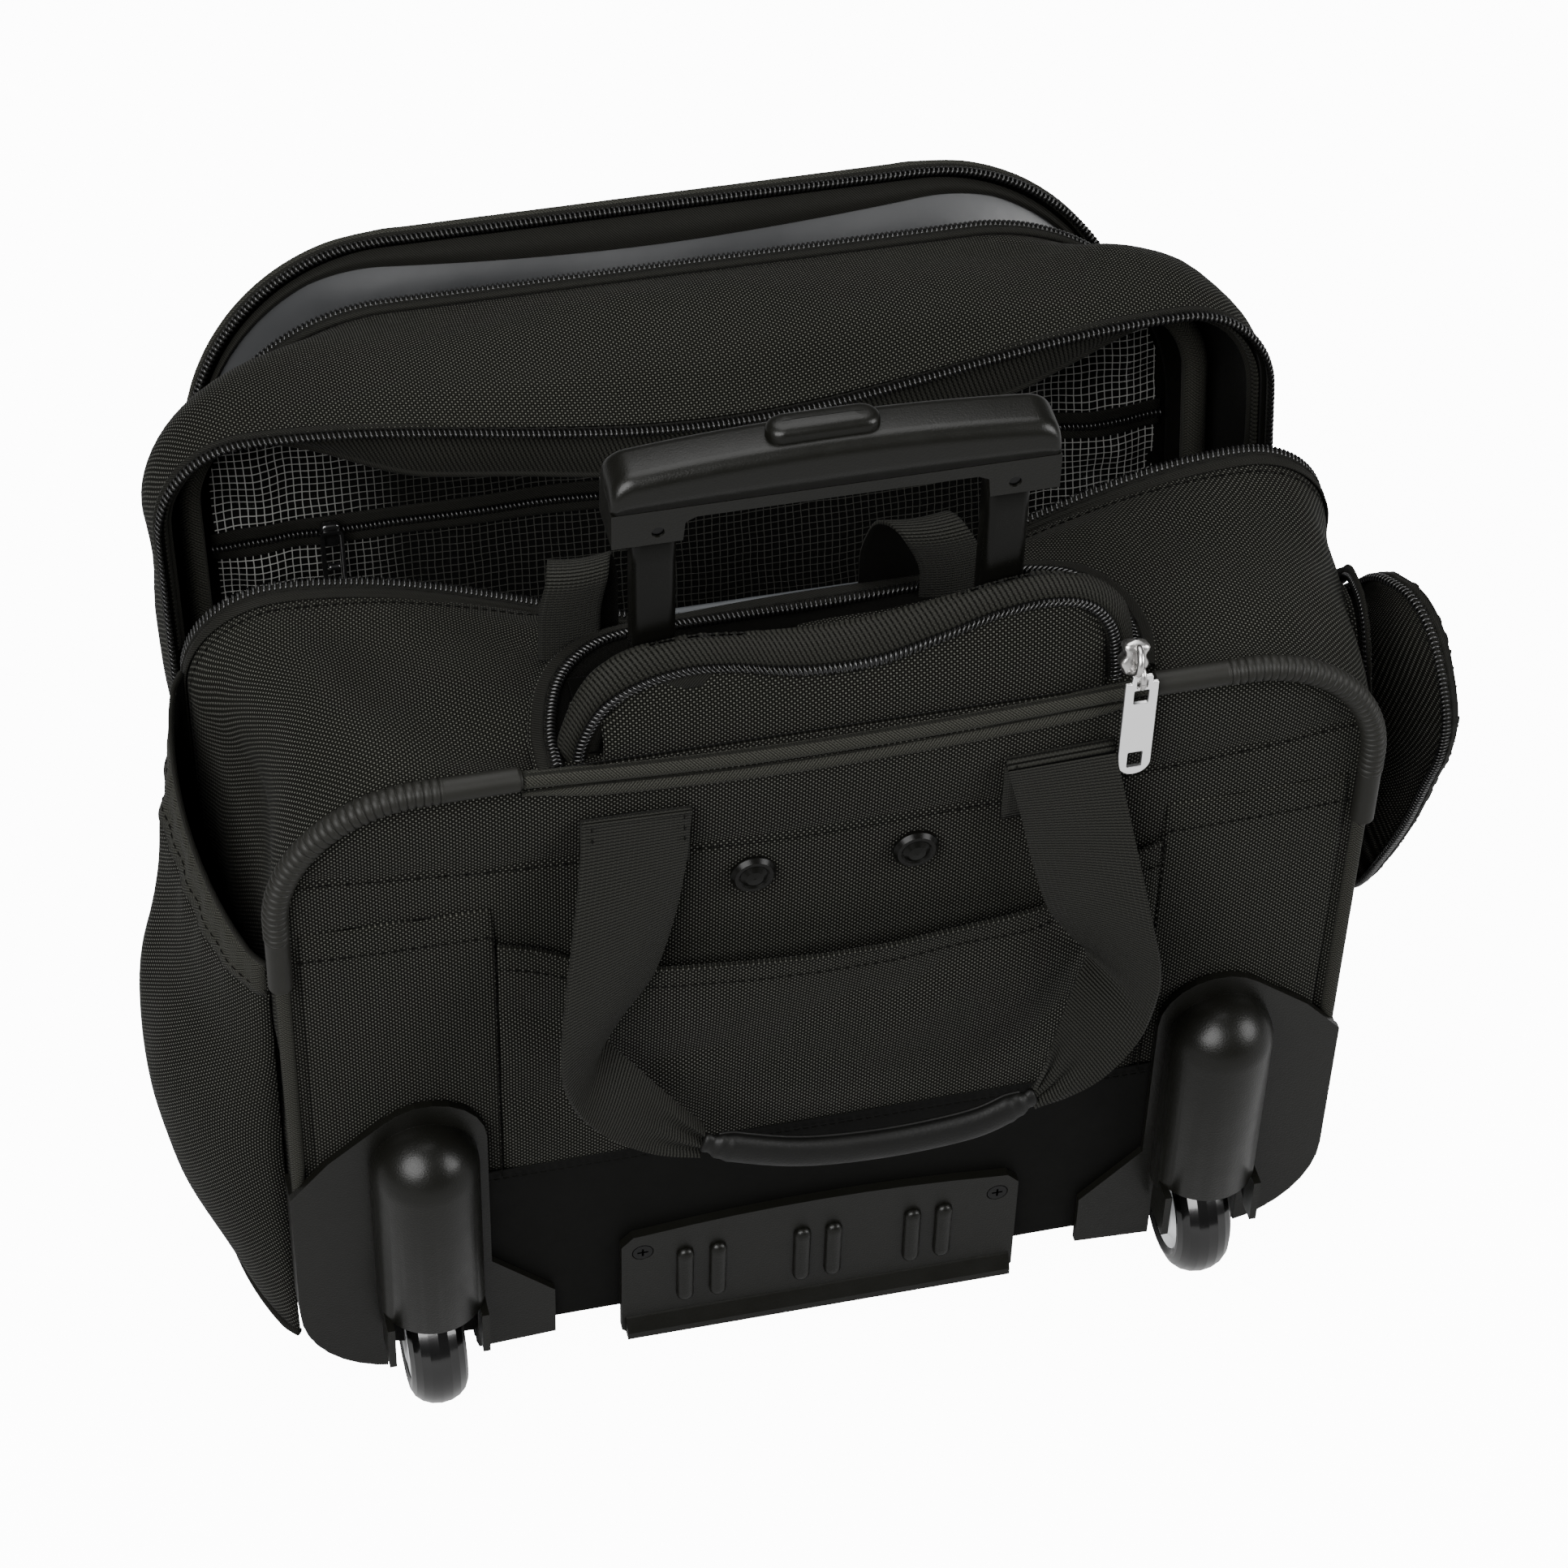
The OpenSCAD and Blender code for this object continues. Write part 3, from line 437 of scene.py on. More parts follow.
def webbing_relief(shader, u, v):
    ridge = shader.math("ABSOLUTE", shader.wave(v, 2.8))
    return shader.math("ADD", shader.math("MULTIPLY", ridge, 0.65),
                       shader.math("MULTIPLY", beads(shader, u, v, 0.9, 0.7), 0.35))


def ribbed_relief(shader, u, v):
    rib = shader.math("ABSOLUTE", shader.wave(shader.math("ADD", u, shader.math("MULTIPLY", v, 0.35)), 4.0))
    return shader.math("ADD", shader.math("MULTIPLY", rib, 0.6),
                       shader.math("MULTIPLY", beads(shader, u, v, 1.0, 0.8), 0.4))


def chevron_relief(shader, u, v):
    zigzag = shader.math("PINGPONG", u, 4.0)
    ridge = shader.math("ABSOLUTE", shader.wave(shader.math("ADD", v, zigzag), 2.6))
    return shader.math("ADD", shader.math("MULTIPLY", ridge, 0.6),
                       shader.math("MULTIPLY", beads(shader, u, v, 1.0, 1.0), 0.4))


def lining_relief(shader, u, v):
    return beads(shader, u, v, 0.35, 0.35)


def moulded(name, colour, rough, grain=0.12, coat=0.0, grain_scale=1400.0, spec=0.5):
    """Moulded plastic or rubber: fine spark grain, soft colour drift and a few rubbed patches."""
    shader = Shader(name)
    grain_noise = shader.noise(grain_scale, 2.0)
    rubbed = shader.scaled(shader.noise(7.0, 5.0), -0.25, 0.5)
    shade = shader.mix(shader.math("MAXIMUM", rubbed, 0.0), colour, tuple(c * 1.5 + 0.001 for c in colour))
    normal = shader.bump(grain_noise, grain, 0.5)
    wavy = shader.bump(shader.noise(35.0, 2.0), 0.25, 0.25, normal)
    return shader.set(
        Base_Color=shade,
        Roughness=shader.scaled(shader.noise(90.0, 3.0), rough - 0.07, rough + 0.09),
        Coat_Weight=coat,
        Coat_Roughness=0.25,
        Specular_IOR_Level=spec,
        Normal=wavy,
    )


def metal(name, colour, rough, grain_scale=500.0):
    shader = Shader(name)
    scratch = shader.noise(grain_scale, 4.0)
    return shader.set(
        Base_Color=shader.mix(shader.scaled(shader.noise(25.0), 0.0, 0.5), colour, tuple(c * 0.8 for c in colour)),
        Metallic=1.0,
        Roughness=shader.scaled(scratch, rough - 0.06, rough + 0.12),
        Normal=shader.bump(scratch, 0.02, 0.3),
    )


def mesh_vinyl():
    """Clear vinyl with a woven grid of white threads inside it; the threads carry painted shade in the middle and
    painted light toward the sides.
    """
    shader = Shader("mesh_vinyl")
    u, v = shader.cloth()
    pitch = 3.3
    thread = 0.44
    wander = shader.math("MULTIPLY", shader.noise(45.0, 2.0), 2.2)
    lines = []
    for value in (u, v):
        across = shader.math("PINGPONG", shader.math("ADD", value, wander), pitch / 2)
        lines.append(shader.math("LESS_THAN", across, thread / 2))
    grid = shader.math("MAXIMUM", lines[0], lines[1])
    weave = shader.wave(u, 1.1)
    # painted light: the threads are painted dark in the middle and bright toward the sides, as if light falls on the
    # pocket's sides
    side = shader.math("MULTIPLY", shader.math("SUBTRACT", shader.math("ABSOLUTE", u), 125.0), 1 / 70, clamp=True)
    thread_painted_light = shader.mix(side, (0.018, 0.018, 0.016), (0.2, 0.2, 0.19))
    return shader.set(
        Base_Color=shader.mix(grid, (0.006, 0.006, 0.006), thread_painted_light),
        Alpha=shader.scaled(grid, 0.16, 0.95),
        Roughness=shader.scaled(shader.noise(20.0), 0.16, 0.34),
        Specular_IOR_Level=0.9,
        Normal=shader.bump(shader.math("ADD", grid, shader.math("MULTIPLY", weave, 0.05)), 0.25, 0.8),
    )


def satin_lining(name, colour, rough=0.36, sheen=0.15):
    """Coated lining: a very fine weave under a satin surface, with soft wrinkles; the weave's gaps are painted a little
    darker as painted shade.
    """
    shader = Shader(name)
    u, v = shader.cloth()
    height = lining_relief(shader, u, v)
    wrinkle = shader.noise(28.0, 4.0)
    normal = shader.bump(wrinkle, 1.6, 0.35)
    # painted shade: the weave's gaps are painted 15% darker than the raised threads
    return shader.set(
        Base_Color=shader.mix(height, tuple(c * 0.85 for c in colour), colour),
        Roughness=shader.scaled(shader.noise(40.0), rough, rough + 0.16),
        Sheen_Weight=sheen,
        Normal=shader.bump(height, 0.05, 0.3, normal),
    )


def leather(name, colour):
    """Grained leather: cells of a fine pebble over slow creases."""
    shader = Shader(name)
    coordinates = shader.node("ShaderNodeTexCoord").outputs["Object"]
    pebble = shader.node("ShaderNodeTexVoronoi", Vector=coordinates, Scale=900.0).outputs["Distance"]
    crease = shader.noise(120.0, 5.0)
    normal = shader.bump(crease, 0.35, 0.4)
    return shader.set(
        Base_Color=shader.mix(shader.scaled(crease, 0.0, 0.6), colour, tuple(c * 1.8 for c in colour)),
        Roughness=shader.scaled(shader.noise(80.0), 0.42, 0.6),
        Specular_IOR_Level=0.16,
        Normal=shader.bump(pebble, 0.12, 0.6, normal),
    )


def tyre():
    """Cast tyre rubber with a faint random colour drift and a fine bumped surface."""
    shader = Shader("tyre_rubber")
    return shader.set(
        Base_Color=shader.mix(shader.scaled(shader.noise(30.0), 0.0, 0.5), (0.0015, 0.0015, 0.0015), (0.003, 0.003, 0.003)),
        Roughness=shader.scaled(shader.noise(55.0), 0.14, 0.26),
        Specular_IOR_Level=0.4,
        Coat_Weight=0.25,
        Coat_Roughness=0.06,
        Normal=shader.bump(shader.noise(300.0), 0.03, 0.3),
    )


# Dark and light colours of each fabric below: the dark one is painted shade in the weave's gaps, the light one a
# painted highlight on its raised threads.
NYLON_DARK = (0.0003, 0.0003, 0.0003)
NYLON_LIGHT = (0.05, 0.0503, 0.0402)
M = {
    "nylon": fabric("ballistic_nylon", NYLON_DARK, NYLON_LIGHT, ballistic_relief, 0.6, gloss=0.4),
    "binding": fabric("binding_tape", (0.0008, 0.0008, 0.0007), (0.0085, 0.0084, 0.007), twill_relief, 0.2, gloss=0.06),
    "piping": fabric("piping_cloth", NYLON_DARK, (0.028, 0.028, 0.023), chevron_relief, 0.3),
    "ribbed": fabric("ribbed_tape", NYLON_DARK, (0.015, 0.015, 0.0122), ribbed_relief, 0.5, gloss=0.12),
    "webbing": fabric("webbing", (0.0004, 0.0004, 0.0004), (0.0135, 0.0135, 0.011), webbing_relief, 0.7, gloss=0.14),
    "inside": fabric("inner_cloth", (0.001, 0.001, 0.0009), (0.0065, 0.0064, 0.0056), lining_relief, 0.06, gloss=0.05),
    "stitch": fabric("stitching", (0.003, 0.003, 0.0027), (0.017, 0.017, 0.0148), lining_relief, 0.05, gloss=0.06),
    "lining": satin_lining("lining", (0.017, 0.0178, 0.0188), sheen=0.08),
    "sleeve": satin_lining("sleeve_foam", (0.02, 0.023, 0.026), 0.55, 0.02),
    "smooth": moulded("smooth_panel", (0.0013, 0.0013, 0.0011), 0.6, 0.05, grain_scale=2600.0, spec=0.05),
    "board": moulded("stiff_board", (0.004, 0.004, 0.004), 0.6, spec=0.1),
    "plastic": moulded("moulded_plastic", (0.0024, 0.0024, 0.0018), 0.36, 0.22, coat=0.1, spec=0.12),
    "rubber": moulded("guard_rubber", (0.0062, 0.0061, 0.005), 0.5, 0.08, spec=0.14),
    "teeth": moulded("zip_teeth", (0.0022, 0.0022, 0.0022), 0.3, 0.02, coat=0.04, spec=0.4),
    "black_tube": moulded("tube_black", (0.0014, 0.0014, 0.0011), 0.28, 0.03, spec=0.1),
    "bare_tube": metal("tube_bare", (0.6, 0.6, 0.61), 0.35),
    "steel": metal("steel", (0.55, 0.55, 0.55), 0.3),
    "dark_steel": metal("dark_steel", (0.018, 0.018, 0.018), 0.22),
    "chrome": metal("chrome_pull", (0.5, 0.49, 0.48), 0.27, 900.0),
    "pull": metal("pull_plate", (0.9, 0.9, 0.9), 0.3, 1400.0),
    "hub": moulded("hub_silver", (0.5, 0.51, 0.52), 0.3, 0.02, coat=0.4),
    "gloss": moulded("gloss_black", (0.003, 0.003, 0.003), 0.2, 0.02, coat=0.5),
    "tyre": tyre(),
    "mesh": mesh_vinyl(),
    "leather": leather("handle_leather", (0.0016, 0.0016, 0.0014)),
}
SLOT_MATERIAL = {
    "ballistic_nylon": "nylon", "binding_tape": "binding", "webbing": "webbing", "lining": "lining",
    "sleeve_foam": "sleeve", "smooth_panel": "smooth", "stiff_board": "board",
    "moulded_plastic": "plastic", "guard_rubber": "rubber", "tube_black": "black_tube",
    "tube_bare": "bare_tube", "steel": "steel", "chrome_pull": "chrome", "tyre_rubber": "tyre",
    "hub_silver": "hub", "mesh_vinyl": "mesh", "handle_leather": "leather",
}


def dress_cad_nodes():
    """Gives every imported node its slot's material, and softens the edges of moulded ones."""
    slots = {part["node"]: part["material_slot"] for part in frame["record"]["subparts"]}
    for name, obj in frame["nodes"].items():
        obj.data.materials.clear()
        obj.data.materials.append(M[SLOT_MATERIAL[slots[name]]])
    special = {"kick_plate_screws": "dark_steel", "grip_screws": "dark_steel", "housing_screws": "dark_steel",
               "snap_studs": "black_tube", "handle_cup": "inside"}
    for name, material in special.items():
        frame["nodes"][name].data.materials.clear()
        frame["nodes"][name].data.materials.append(M[material])
    softened = {"kick_plate": 1.1, "wheel_housing_left": 1.2, "wheel_housing_right": 1.2,
                "grip_lower": 2.2, "push_button": 0.8, "front_stand": 2.0,
                "handle_cup": 0.8}
    for name, width in softened.items():
        obj = frame["nodes"][name]
        weld = obj.modifiers.new("weld", "WELD")
        weld.merge_threshold = 0.02 * MM
        bevel = obj.modifiers.new("bevel", "BEVEL")
        bevel.width = width * MM
        bevel.segments = 3
        bevel.limit_method = "ANGLE"
        bevel.angle_limit = math.radians(35)
        bevel.harden_normals = True


dress_cad_nodes()


# ---- Outlines and shells ----

def half_outline(half, bottom, top, r_bottom, r_top):
    """Right half of a rounded outline as x and z, from the middle of the bottom to the middle of the top."""
    def arc(cx, cz, r, start, end, count):
        angle = np.radians(np.linspace(start, end, count, endpoint=False))
        return np.stack([cx + r * np.cos(angle), cz + r * np.sin(angle)], axis=1)

    def line(start, end, count):
        t = np.linspace(0, 1, count, endpoint=False)[:, None]
        return np.array(start) * (1 - t) + np.array(end) * t

    return np.concatenate([
        line((0, bottom), (half - r_bottom, bottom), 14),
        arc(half - r_bottom, bottom + r_bottom, r_bottom, -90, 0, 12),
        line((half, bottom + r_bottom), (half, top - r_top), 28),
        arc(half - r_top, top - r_top, r_top, 0, 90, 18),
        line((half - r_top, top), (0, top), 30),
        [(0, top)],
    ])


def outline(half, bottom, top, r_bottom, r_top, sag=0.0):
    """Closed loop of x and z, anticlockwise seen from the wheels; its top edge dips by sag."""
    right = half_outline(half, bottom, top, r_bottom, r_top)
    flat = half - r_top
    dip = np.where(right[:, 1] > top - 0.01, np.cos(np.clip(right[:, 0] / flat, -1, 1) * math.pi / 2) ** 2, 0)
    right[:, 1] -= sag * dip
    left = right[-2:0:-1] * np.array([-1, 1])
    return np.concatenate([right, left])


def stations_at(stations, depths):
    """Sizes at any depths, smooth between the given stations and never overshooting them."""
    table = np.array(stations, float)
    y = table[:, 0]
    step = np.diff(y)[:, None]
    slope = np.diff(table, axis=0) / step
    product = slope[:-1] * slope[1:]
    inner = np.where(product > 0, 2 * product / (slope[:-1] + slope[1:] + 1e-12), 0)
    tangent = np.concatenate([slope[:1], inner, slope[-1:]])
    k = np.clip(np.searchsorted(y, depths, side="right") - 1, 0, len(y) - 2)
    h = step[k]
    t = ((depths - y[k])[:, None]) / h
    return (table[k] * (1 + 2 * t) * (1 - t) ** 2 + tangent[k] * h * t * (1 - t) ** 2
            + table[k + 1] * t * t * (3 - 2 * t) + tangent[k + 1] * h * t * t * (t - 1))


def loop_at(station, inset=0.0):
    y, half, bottom, top, r_bottom, r_top, sag = station
    flat = outline(half - inset, bottom + inset, top - inset, r_bottom, r_top, sag)
    return np.stack([flat[:, 0], np.full(len(flat), y), flat[:, 1]], axis=1)


def shell(stations, depths, inset=0.0):
    return np.array([loop_at(s, inset) for s in stations_at(stations, np.asarray(depths, float))])


REAR_STATIONS = [
    [0, HALF_W - 1, BOTTOM_Z + 3, TOP_Z - 1, 38, 56, 0],
    [9, HALF_W + 1, BOTTOM_Z + 0.5, TOP_Z + 0.5, 40, 57, 0],
    [60, HALF_W + 8, BOTTOM_Z + 0.3, TOP_Z + 1, 34, 50, 0.1 * REAR_SAG],
    [90, HALF_W + 12, BOTTOM_Z + 0.3, TOP_Z, 30, 44, 0.42 * REAR_SAG],
    [REAR_DEPTH, HALF_W + 16, BOTTOM_Z + 0.3, TOP_Z - 2, 26, 38, REAR_SAG],
    [ZIP_Y, HALF_W + 16, BOTTOM_Z + 0.3, TOP_Z - 2, 26, 38, REAR_SAG],
]
FRONT_STATIONS = [
    [ZIP_Y, HALF_W + 16, BOTTOM_Z + 9, TOP_Z - 2, 26, 38, FRONT_SAG],
    [ZIP_Y + 3.2, HALF_W + 16, BOTTOM_Z + 9, TOP_Z - 2, 26, 38, FRONT_SAG],
    [ZIP_Y + 22, HALF_W + 17, BOTTOM_Z + 9, TOP_Z + 5, 26, 44, 0.3 * FRONT_SAG],
    [ZIP_Y + 54, HALF_W + 12, BOTTOM_Z + 9, TOP_Z + 10, 30, 64, 0],
    [FRONT_Y - 4, HALF_W - 4, BOTTOM_Z + 11, TOP_Z + 8, 38, 88, 0],
    [FRONT_Y + 2, HALF_W - 8, BOTTOM_Z + 16, TOP_Z + 4, 38, 88, 0],
]
PANEL_STATIONS = [
    [PANEL_Y - 1, HALF_W - 7.5, BOTTOM_Z + 22, TOP_Z + 14, 38, 90, 0],
    [PANEL_Y + 5, HALF_W - 7, BOTTOM_Z + 22, TOP_Z + 15, 38, 90, 0],
    [PANEL_Y + 10, HALF_W - 8, BOTTOM_Z + 23, TOP_Z + 14, 38, 90, 0],
]


def face_grid(half, bottom, top, r_bottom, r_top, columns=120, bottom_rows=12, rows=70, top_rows=20):
    """Grid of x and z that fills a rounded outline, row by row from the bottom."""
    lower = bottom + r_bottom * (1 - np.cos(np.linspace(0.08, math.pi / 2, bottom_rows, endpoint=False)))
    upper = top - r_top * (1 - np.sin(np.linspace(0, math.pi / 2 - 0.06, top_rows)))
    z = np.concatenate([lower, np.linspace(bottom + r_bottom, top - r_top, rows, endpoint=False), upper])
    low = np.clip(bottom + r_bottom - z, 0, r_bottom)
    high = np.clip(z - (top - r_top), 0, r_top)
    width = half - r_bottom + np.sqrt(r_bottom ** 2 - low ** 2)
    width = np.where(z > top - r_top, half - r_top + np.sqrt(r_top ** 2 - high ** 2), width)
    share = np.linspace(-1, 1, columns)
    x = width[:, None] * share[None, :]
    return x, np.broadcast_to(z[:, None], x.shape), width[:, None]


def edge_distance(x, z, width, bottom, top):
    return np.minimum(np.minimum(width - np.abs(x), z - bottom), top - z)


def planar_uv(x, z):
    return np.stack([x, z], axis=-1) * MM


def spread(flat, y):
    return np.stack([flat[:, 0], np.full(len(flat), y), flat[:, 1]], axis=1)


# ---- Sewing ----

def coil_teeth(name, path, inward, lift, body, pitch=2.1, reach=3.3, wire=0.56):
    """A row of coil teeth that wrap the edge of a tape.

    The path runs along the edge, inward points across the tape and lift out of its face."""
    count = max(int(lengths(path)[-1] / (pitch * MM)), 2)
    centre = resample(path, count)
    inward = unit(resample(np.broadcast_to(np.asarray(inward, float), path.shape), count))
    lift = unit(resample(np.broadcast_to(np.asarray(lift, float), path.shape), count))
    forward = directions(centre)
    bend = np.array([
        [reach, 0.7, 0.5], [reach * 0.55, 1.25, 0.3], [0.7, 1.45, 0.1], [-0.7, 1.0, 0], [-1.25, 0, 0],
        [-0.7, -1.0, 0], [0.7, -1.45, -0.1], [reach, -0.7, -0.5],
    ])
    sides = 6
    heading = directions(bend)
    across = unit(np.cross(heading, np.array([0.0, 0.0, 1.0])))
    angle = np.linspace(0, 2 * math.pi, sides, endpoint=False)
    ring = (np.cos(angle)[None, :, None] * across[:, None]
            + np.sin(angle)[None, :, None] * np.cross(heading, across)[:, None]) * wire
    tooth = bend[:, None] + ring
    tooth = np.concatenate([bend[:1, None] + ring[:1] * 0.05, tooth, bend[-1:, None] + ring[-1:] * 0.05])
    local = tooth.reshape(-1, 3) * MM
    vertices = (centre[:, None] + local[None, :, :1] * inward[:, None] + local[None, :, 1:2] * lift[:, None]
                + local[None, :, 2:] * forward[:, None])
    quads = grid_quads(len(tooth), sides, closed=True)
    quads = (quads[None] + (np.arange(count) * len(local))[:, None, None]).reshape(-1, 4)
    obj = new_mesh(name, vertices.reshape(-1, 3), quads)
    return finish(obj, body, [M["teeth"]])


def zip_half(name, path, inward, lift, body, tape=10.0, replaces=(), pitch=2.1, reach=3.3, wire=0.56):
    """One half of a zip: its tape, the cord sewn beside the teeth, and the teeth."""
    path = np.asarray(path, float)
    inward = np.broadcast_to(np.asarray(inward, float), path.shape)
    lift = unit(np.broadcast_to(np.asarray(lift, float), path.shape))
    steps = np.array([0.0, 1.5, 4.0, 7.0, tape]) * MM
    rows = np.stack([path + inward * step for step in steps], axis=0)
    tape_piece = sheet(name + "_tape", rows, body, [M["binding"]], thick=0.7, replaces=replaces)
    coil_teeth(name + "_teeth", path, inward, lift, body, pitch, reach, wire)
    cord = path + inward * (reach + 1.0) * MM + lift * 0.5 * MM
    twist = 0.2 * MM * np.sin(lengths(cord) / (1.3 * MM))[:, None] * lift
    tube(name + "_cord", cord + twist, 0.62 * MM, body, M["stitch"], sides=6, up=lift)
    return tape_piece


def stitches(name, path, body, lift=(0, -1, 0), stitch=2.6, gap=1.1, wire=0.34):
    """A row of sewn stitches, each a short raised thread, along a path in metres."""
    path = np.asarray(path, float)
    pitch = (stitch + gap) * MM
    count = max(int(lengths(path)[-1] / pitch), 2)
    centre = resample(path, count)
    forward = directions(centre)
    lift = unit(resample(np.broadcast_to(np.asarray(lift, float), path.shape), count))
    side = np.cross(forward, lift)
    along = np.array([-0.5, -0.42, -0.2, 0.2, 0.42, 0.5]) * stitch * MM
    swell = np.array([0.1, 0.75, 1.0, 1.0, 0.75, 0.1]) * wire * MM
    height = np.array([-0.6, 0.1, 0.6, 0.6, 0.1, -0.6]) * wire * MM
    angle = np.linspace(0, 2 * math.pi, 5, endpoint=False)
    points = (centre[:, None, None]
              + along[None, :, None, None] * forward[:, None, None]
              + height[None, :, None, None] * lift[:, None, None]
              + (swell[:, None] * np.cos(angle))[None, :, :, None] * side[:, None, None]
              + (swell[:, None] * np.sin(angle))[None, :, :, None] * lift[:, None, None])
    quads = grid_quads(len(along), len(angle), closed=True)
    quads = (quads[None] + (np.arange(count) * len(along) * len(angle))[:, None, None]).reshape(-1, 4)
    obj = new_mesh(name, points.reshape(-1, 3), quads)
    return finish(obj, body, [M["stitch"]])


def upper_part(loop, height):
    """The stretch of a loop above a height, from its right side over the top to its left side."""
    return loop[loop[:, 2] > height]


def outward(loop):
    """Directions out of a loop that lies at one depth, or nearly."""
    forward = directions(loop)
    return unit(np.cross(np.array([0.0, 1.0, 0.0]), forward))


# ---- Rear half ----

def seam_z(x):
    """Height of the seam across the back panel, which sags in the middle."""
    return 303 + 14 * np.clip(np.abs(x) / 200, 0, 1) ** 2


def back_surface(x, z):
    """Depth of the back panel's cloth at x and z: padded, drawn in at its seam."""
    seam = seam_z(x)
    upper = bump_at(z, (seam + TOP_Z) / 2 + 2, 22) * 2.4
    groove = bump_at(z, seam, 2.2) * 1.5
    drape = ripples(np.stack([x, 0 * x, z], axis=-1), 95, 11) * 1.1
    return 0.8 - upper + groove - drape


def back_panel():
    bottom, top = BOTTOM_Z + 3, TOP_Z + 2
    x, z, width = face_grid(HALF_W - 1, bottom, top, 40, GUARD_BEND, columns=150, rows=110)
    edge = rise(edge_distance(x, z, width, bottom, top), 0, 14)
    y = back_surface(x, z) * edge + 0.4 * (1 - edge)
    points = in_rear(np.stack([x, y, z], axis=-1))
    sheet("back_panel", points, "case_back", [M["nylon"], M["inside"]], thick=1.6,
          uv=planar_uv(x, z), flip=True)
    across = np.linspace(-HALF_W + 6, HALF_W - 6, 240)
    for offset in (2.4,):
        z = seam_z(across) - offset
        line = in_rear(np.stack([across, back_surface(across, z) - 0.3, z], axis=1))
        stitches("back_seam_stitches", line, "case_back")


def rear_gusset():
    cup = (cad_mm("handle_cup")[0][1] + CUP_RIM, cad_mm("handle_cup")[1][1] - CUP_RIM)
    depths = np.concatenate([np.linspace(0.5, 8, 5), np.linspace(12, REAR_DEPTH - 4, 34)])
    for edge in cup:
        depths[np.argmin(np.abs(depths - edge))] = edge
    points = shell(REAR_STATIONS, depths)
    y = points[..., 1]
    ease = rise(y, 2, 22) * (1 - rise(y, REAR_DEPTH - 26, REAR_DEPTH - 4))
    out = grid_normals(points, closed=True)
    high = rise(points[..., 2], 200, 320)
    relief = 3.0 * ripples(points, 105, 3) + 1.3 * ripples(points, 42, 4)
    # soft folds that run from the corners to the zip
    fold = -4.5 * bump_at(points[..., 0] + 0.55 * y, -118, 20) * high
    fold += 2.4 * bump_at(points[..., 0] + 0.5 * y, -160, 22) * high
    fold += -3.2 * bump_at(points[..., 0] - 0.5 * y, 150, 24) * high
    # the left side sinks where the bottle pocket hangs open
    left = (points[..., 0] < 0) * bump_at(y, 62, 34) * bump_at(points[..., 2], 300, 42)
    points = points + out * ((relief + fold - 15 * left) * ease)[..., None]
    # open over the handle cup, cut along the middle of its rim
    cup_low, cup_high = cad_mm("handle_cup")
    x = points[..., 0]
    top = points[..., 2] > TOP_Z - 40
    for edge in (cup_low[0] + CUP_RIM, cup_high[0] - CUP_RIM):
        nearest = np.argmin(np.where(top, np.abs(x - edge), np.inf), axis=1)
        x[np.arange(len(x)), nearest] = edge
    opening = top & (np.abs(x - (cup_low[0] + cup_high[0]) / 2) <= (cup_high[0] - cup_low[0]) / 2 - CUP_RIM + 0.01)
    opening &= np.abs(points[..., 1] - (cup_low[1] + cup_high[1]) / 2) <= (cup_high[1] - cup_low[1]) / 2 - CUP_RIM + 1.2
    sheet("rear_gusset", in_rear(points), "case_back", [M["nylon"], M["inside"]],
          closed=True, flip=False, thick=2.2, replaces=["rear_shell"], opening=opening)
    edge = upper_part(points[-1], 60)
    roll = in_rear(edge + np.array([0, 0.6, 0]))
    tube("rear_gusset_fold", roll, 1.5 * MM, "case_back", M["binding"], sides=10,
         up=outward(edge))
    loop = upper_part(loop_at(REAR_STATIONS[-1]), 56)
    loop = smooth_curve(loop[::2], 500)
    path = in_rear(loop - np.array([0, 0.6, 0]) + outward(loop) * 0.4)
    zip_half("rear_zip", path, (0, -1, 0), outward(loop), "case_back", tape=10,
             replaces=["main_zipper_rear"])
    near = upper_part(points[-3], 60)
    stitches("rear_gusset_stitches", in_rear(near + outward(near) * 0.3), "case_back", lift=outward(near))


def rear_inside():
    """Lining sheet between the trolley tubes and the packing space."""
    x, z, width = face_grid(HALF_W - 13, BOTTOM_Z + 6, TOP_Z - 14, 34, 50, columns=60, rows=40)
    y = 45.3 + 0.5 * ripples(np.stack([x, 0 * x, z], axis=-1), 70, 21)
    points = in_rear(np.stack([x, y, z], axis=-1))
    sheet("rear_lining_cloth", points, "case_back", [M["inside"]], thick=0.6,
          uv=planar_uv(x, z), replaces=["rear_lining"])


def slip_top(x):
    """Height of the slip pocket's mouth: low and level in the middle, higher beside its seams."""
    middle = 246 + 21 * rise(np.abs(x), 78, 132)
    return np.where(np.abs(x) > 132, 286 + 2 * rise(np.abs(x), 132, 206), middle)


def slip_depth(x, share):
    """Depth of the pocket cloth; the mouth of the middle pocket stands open."""
    gape = np.cos(np.clip((x - 8) / 125, -1, 1) * math.pi / 2) ** 1.3
    sides = 0.8 * rise(share, 0.3, 1)
    return -1.6 - 10.5 * gape * share ** 2.2 - sides


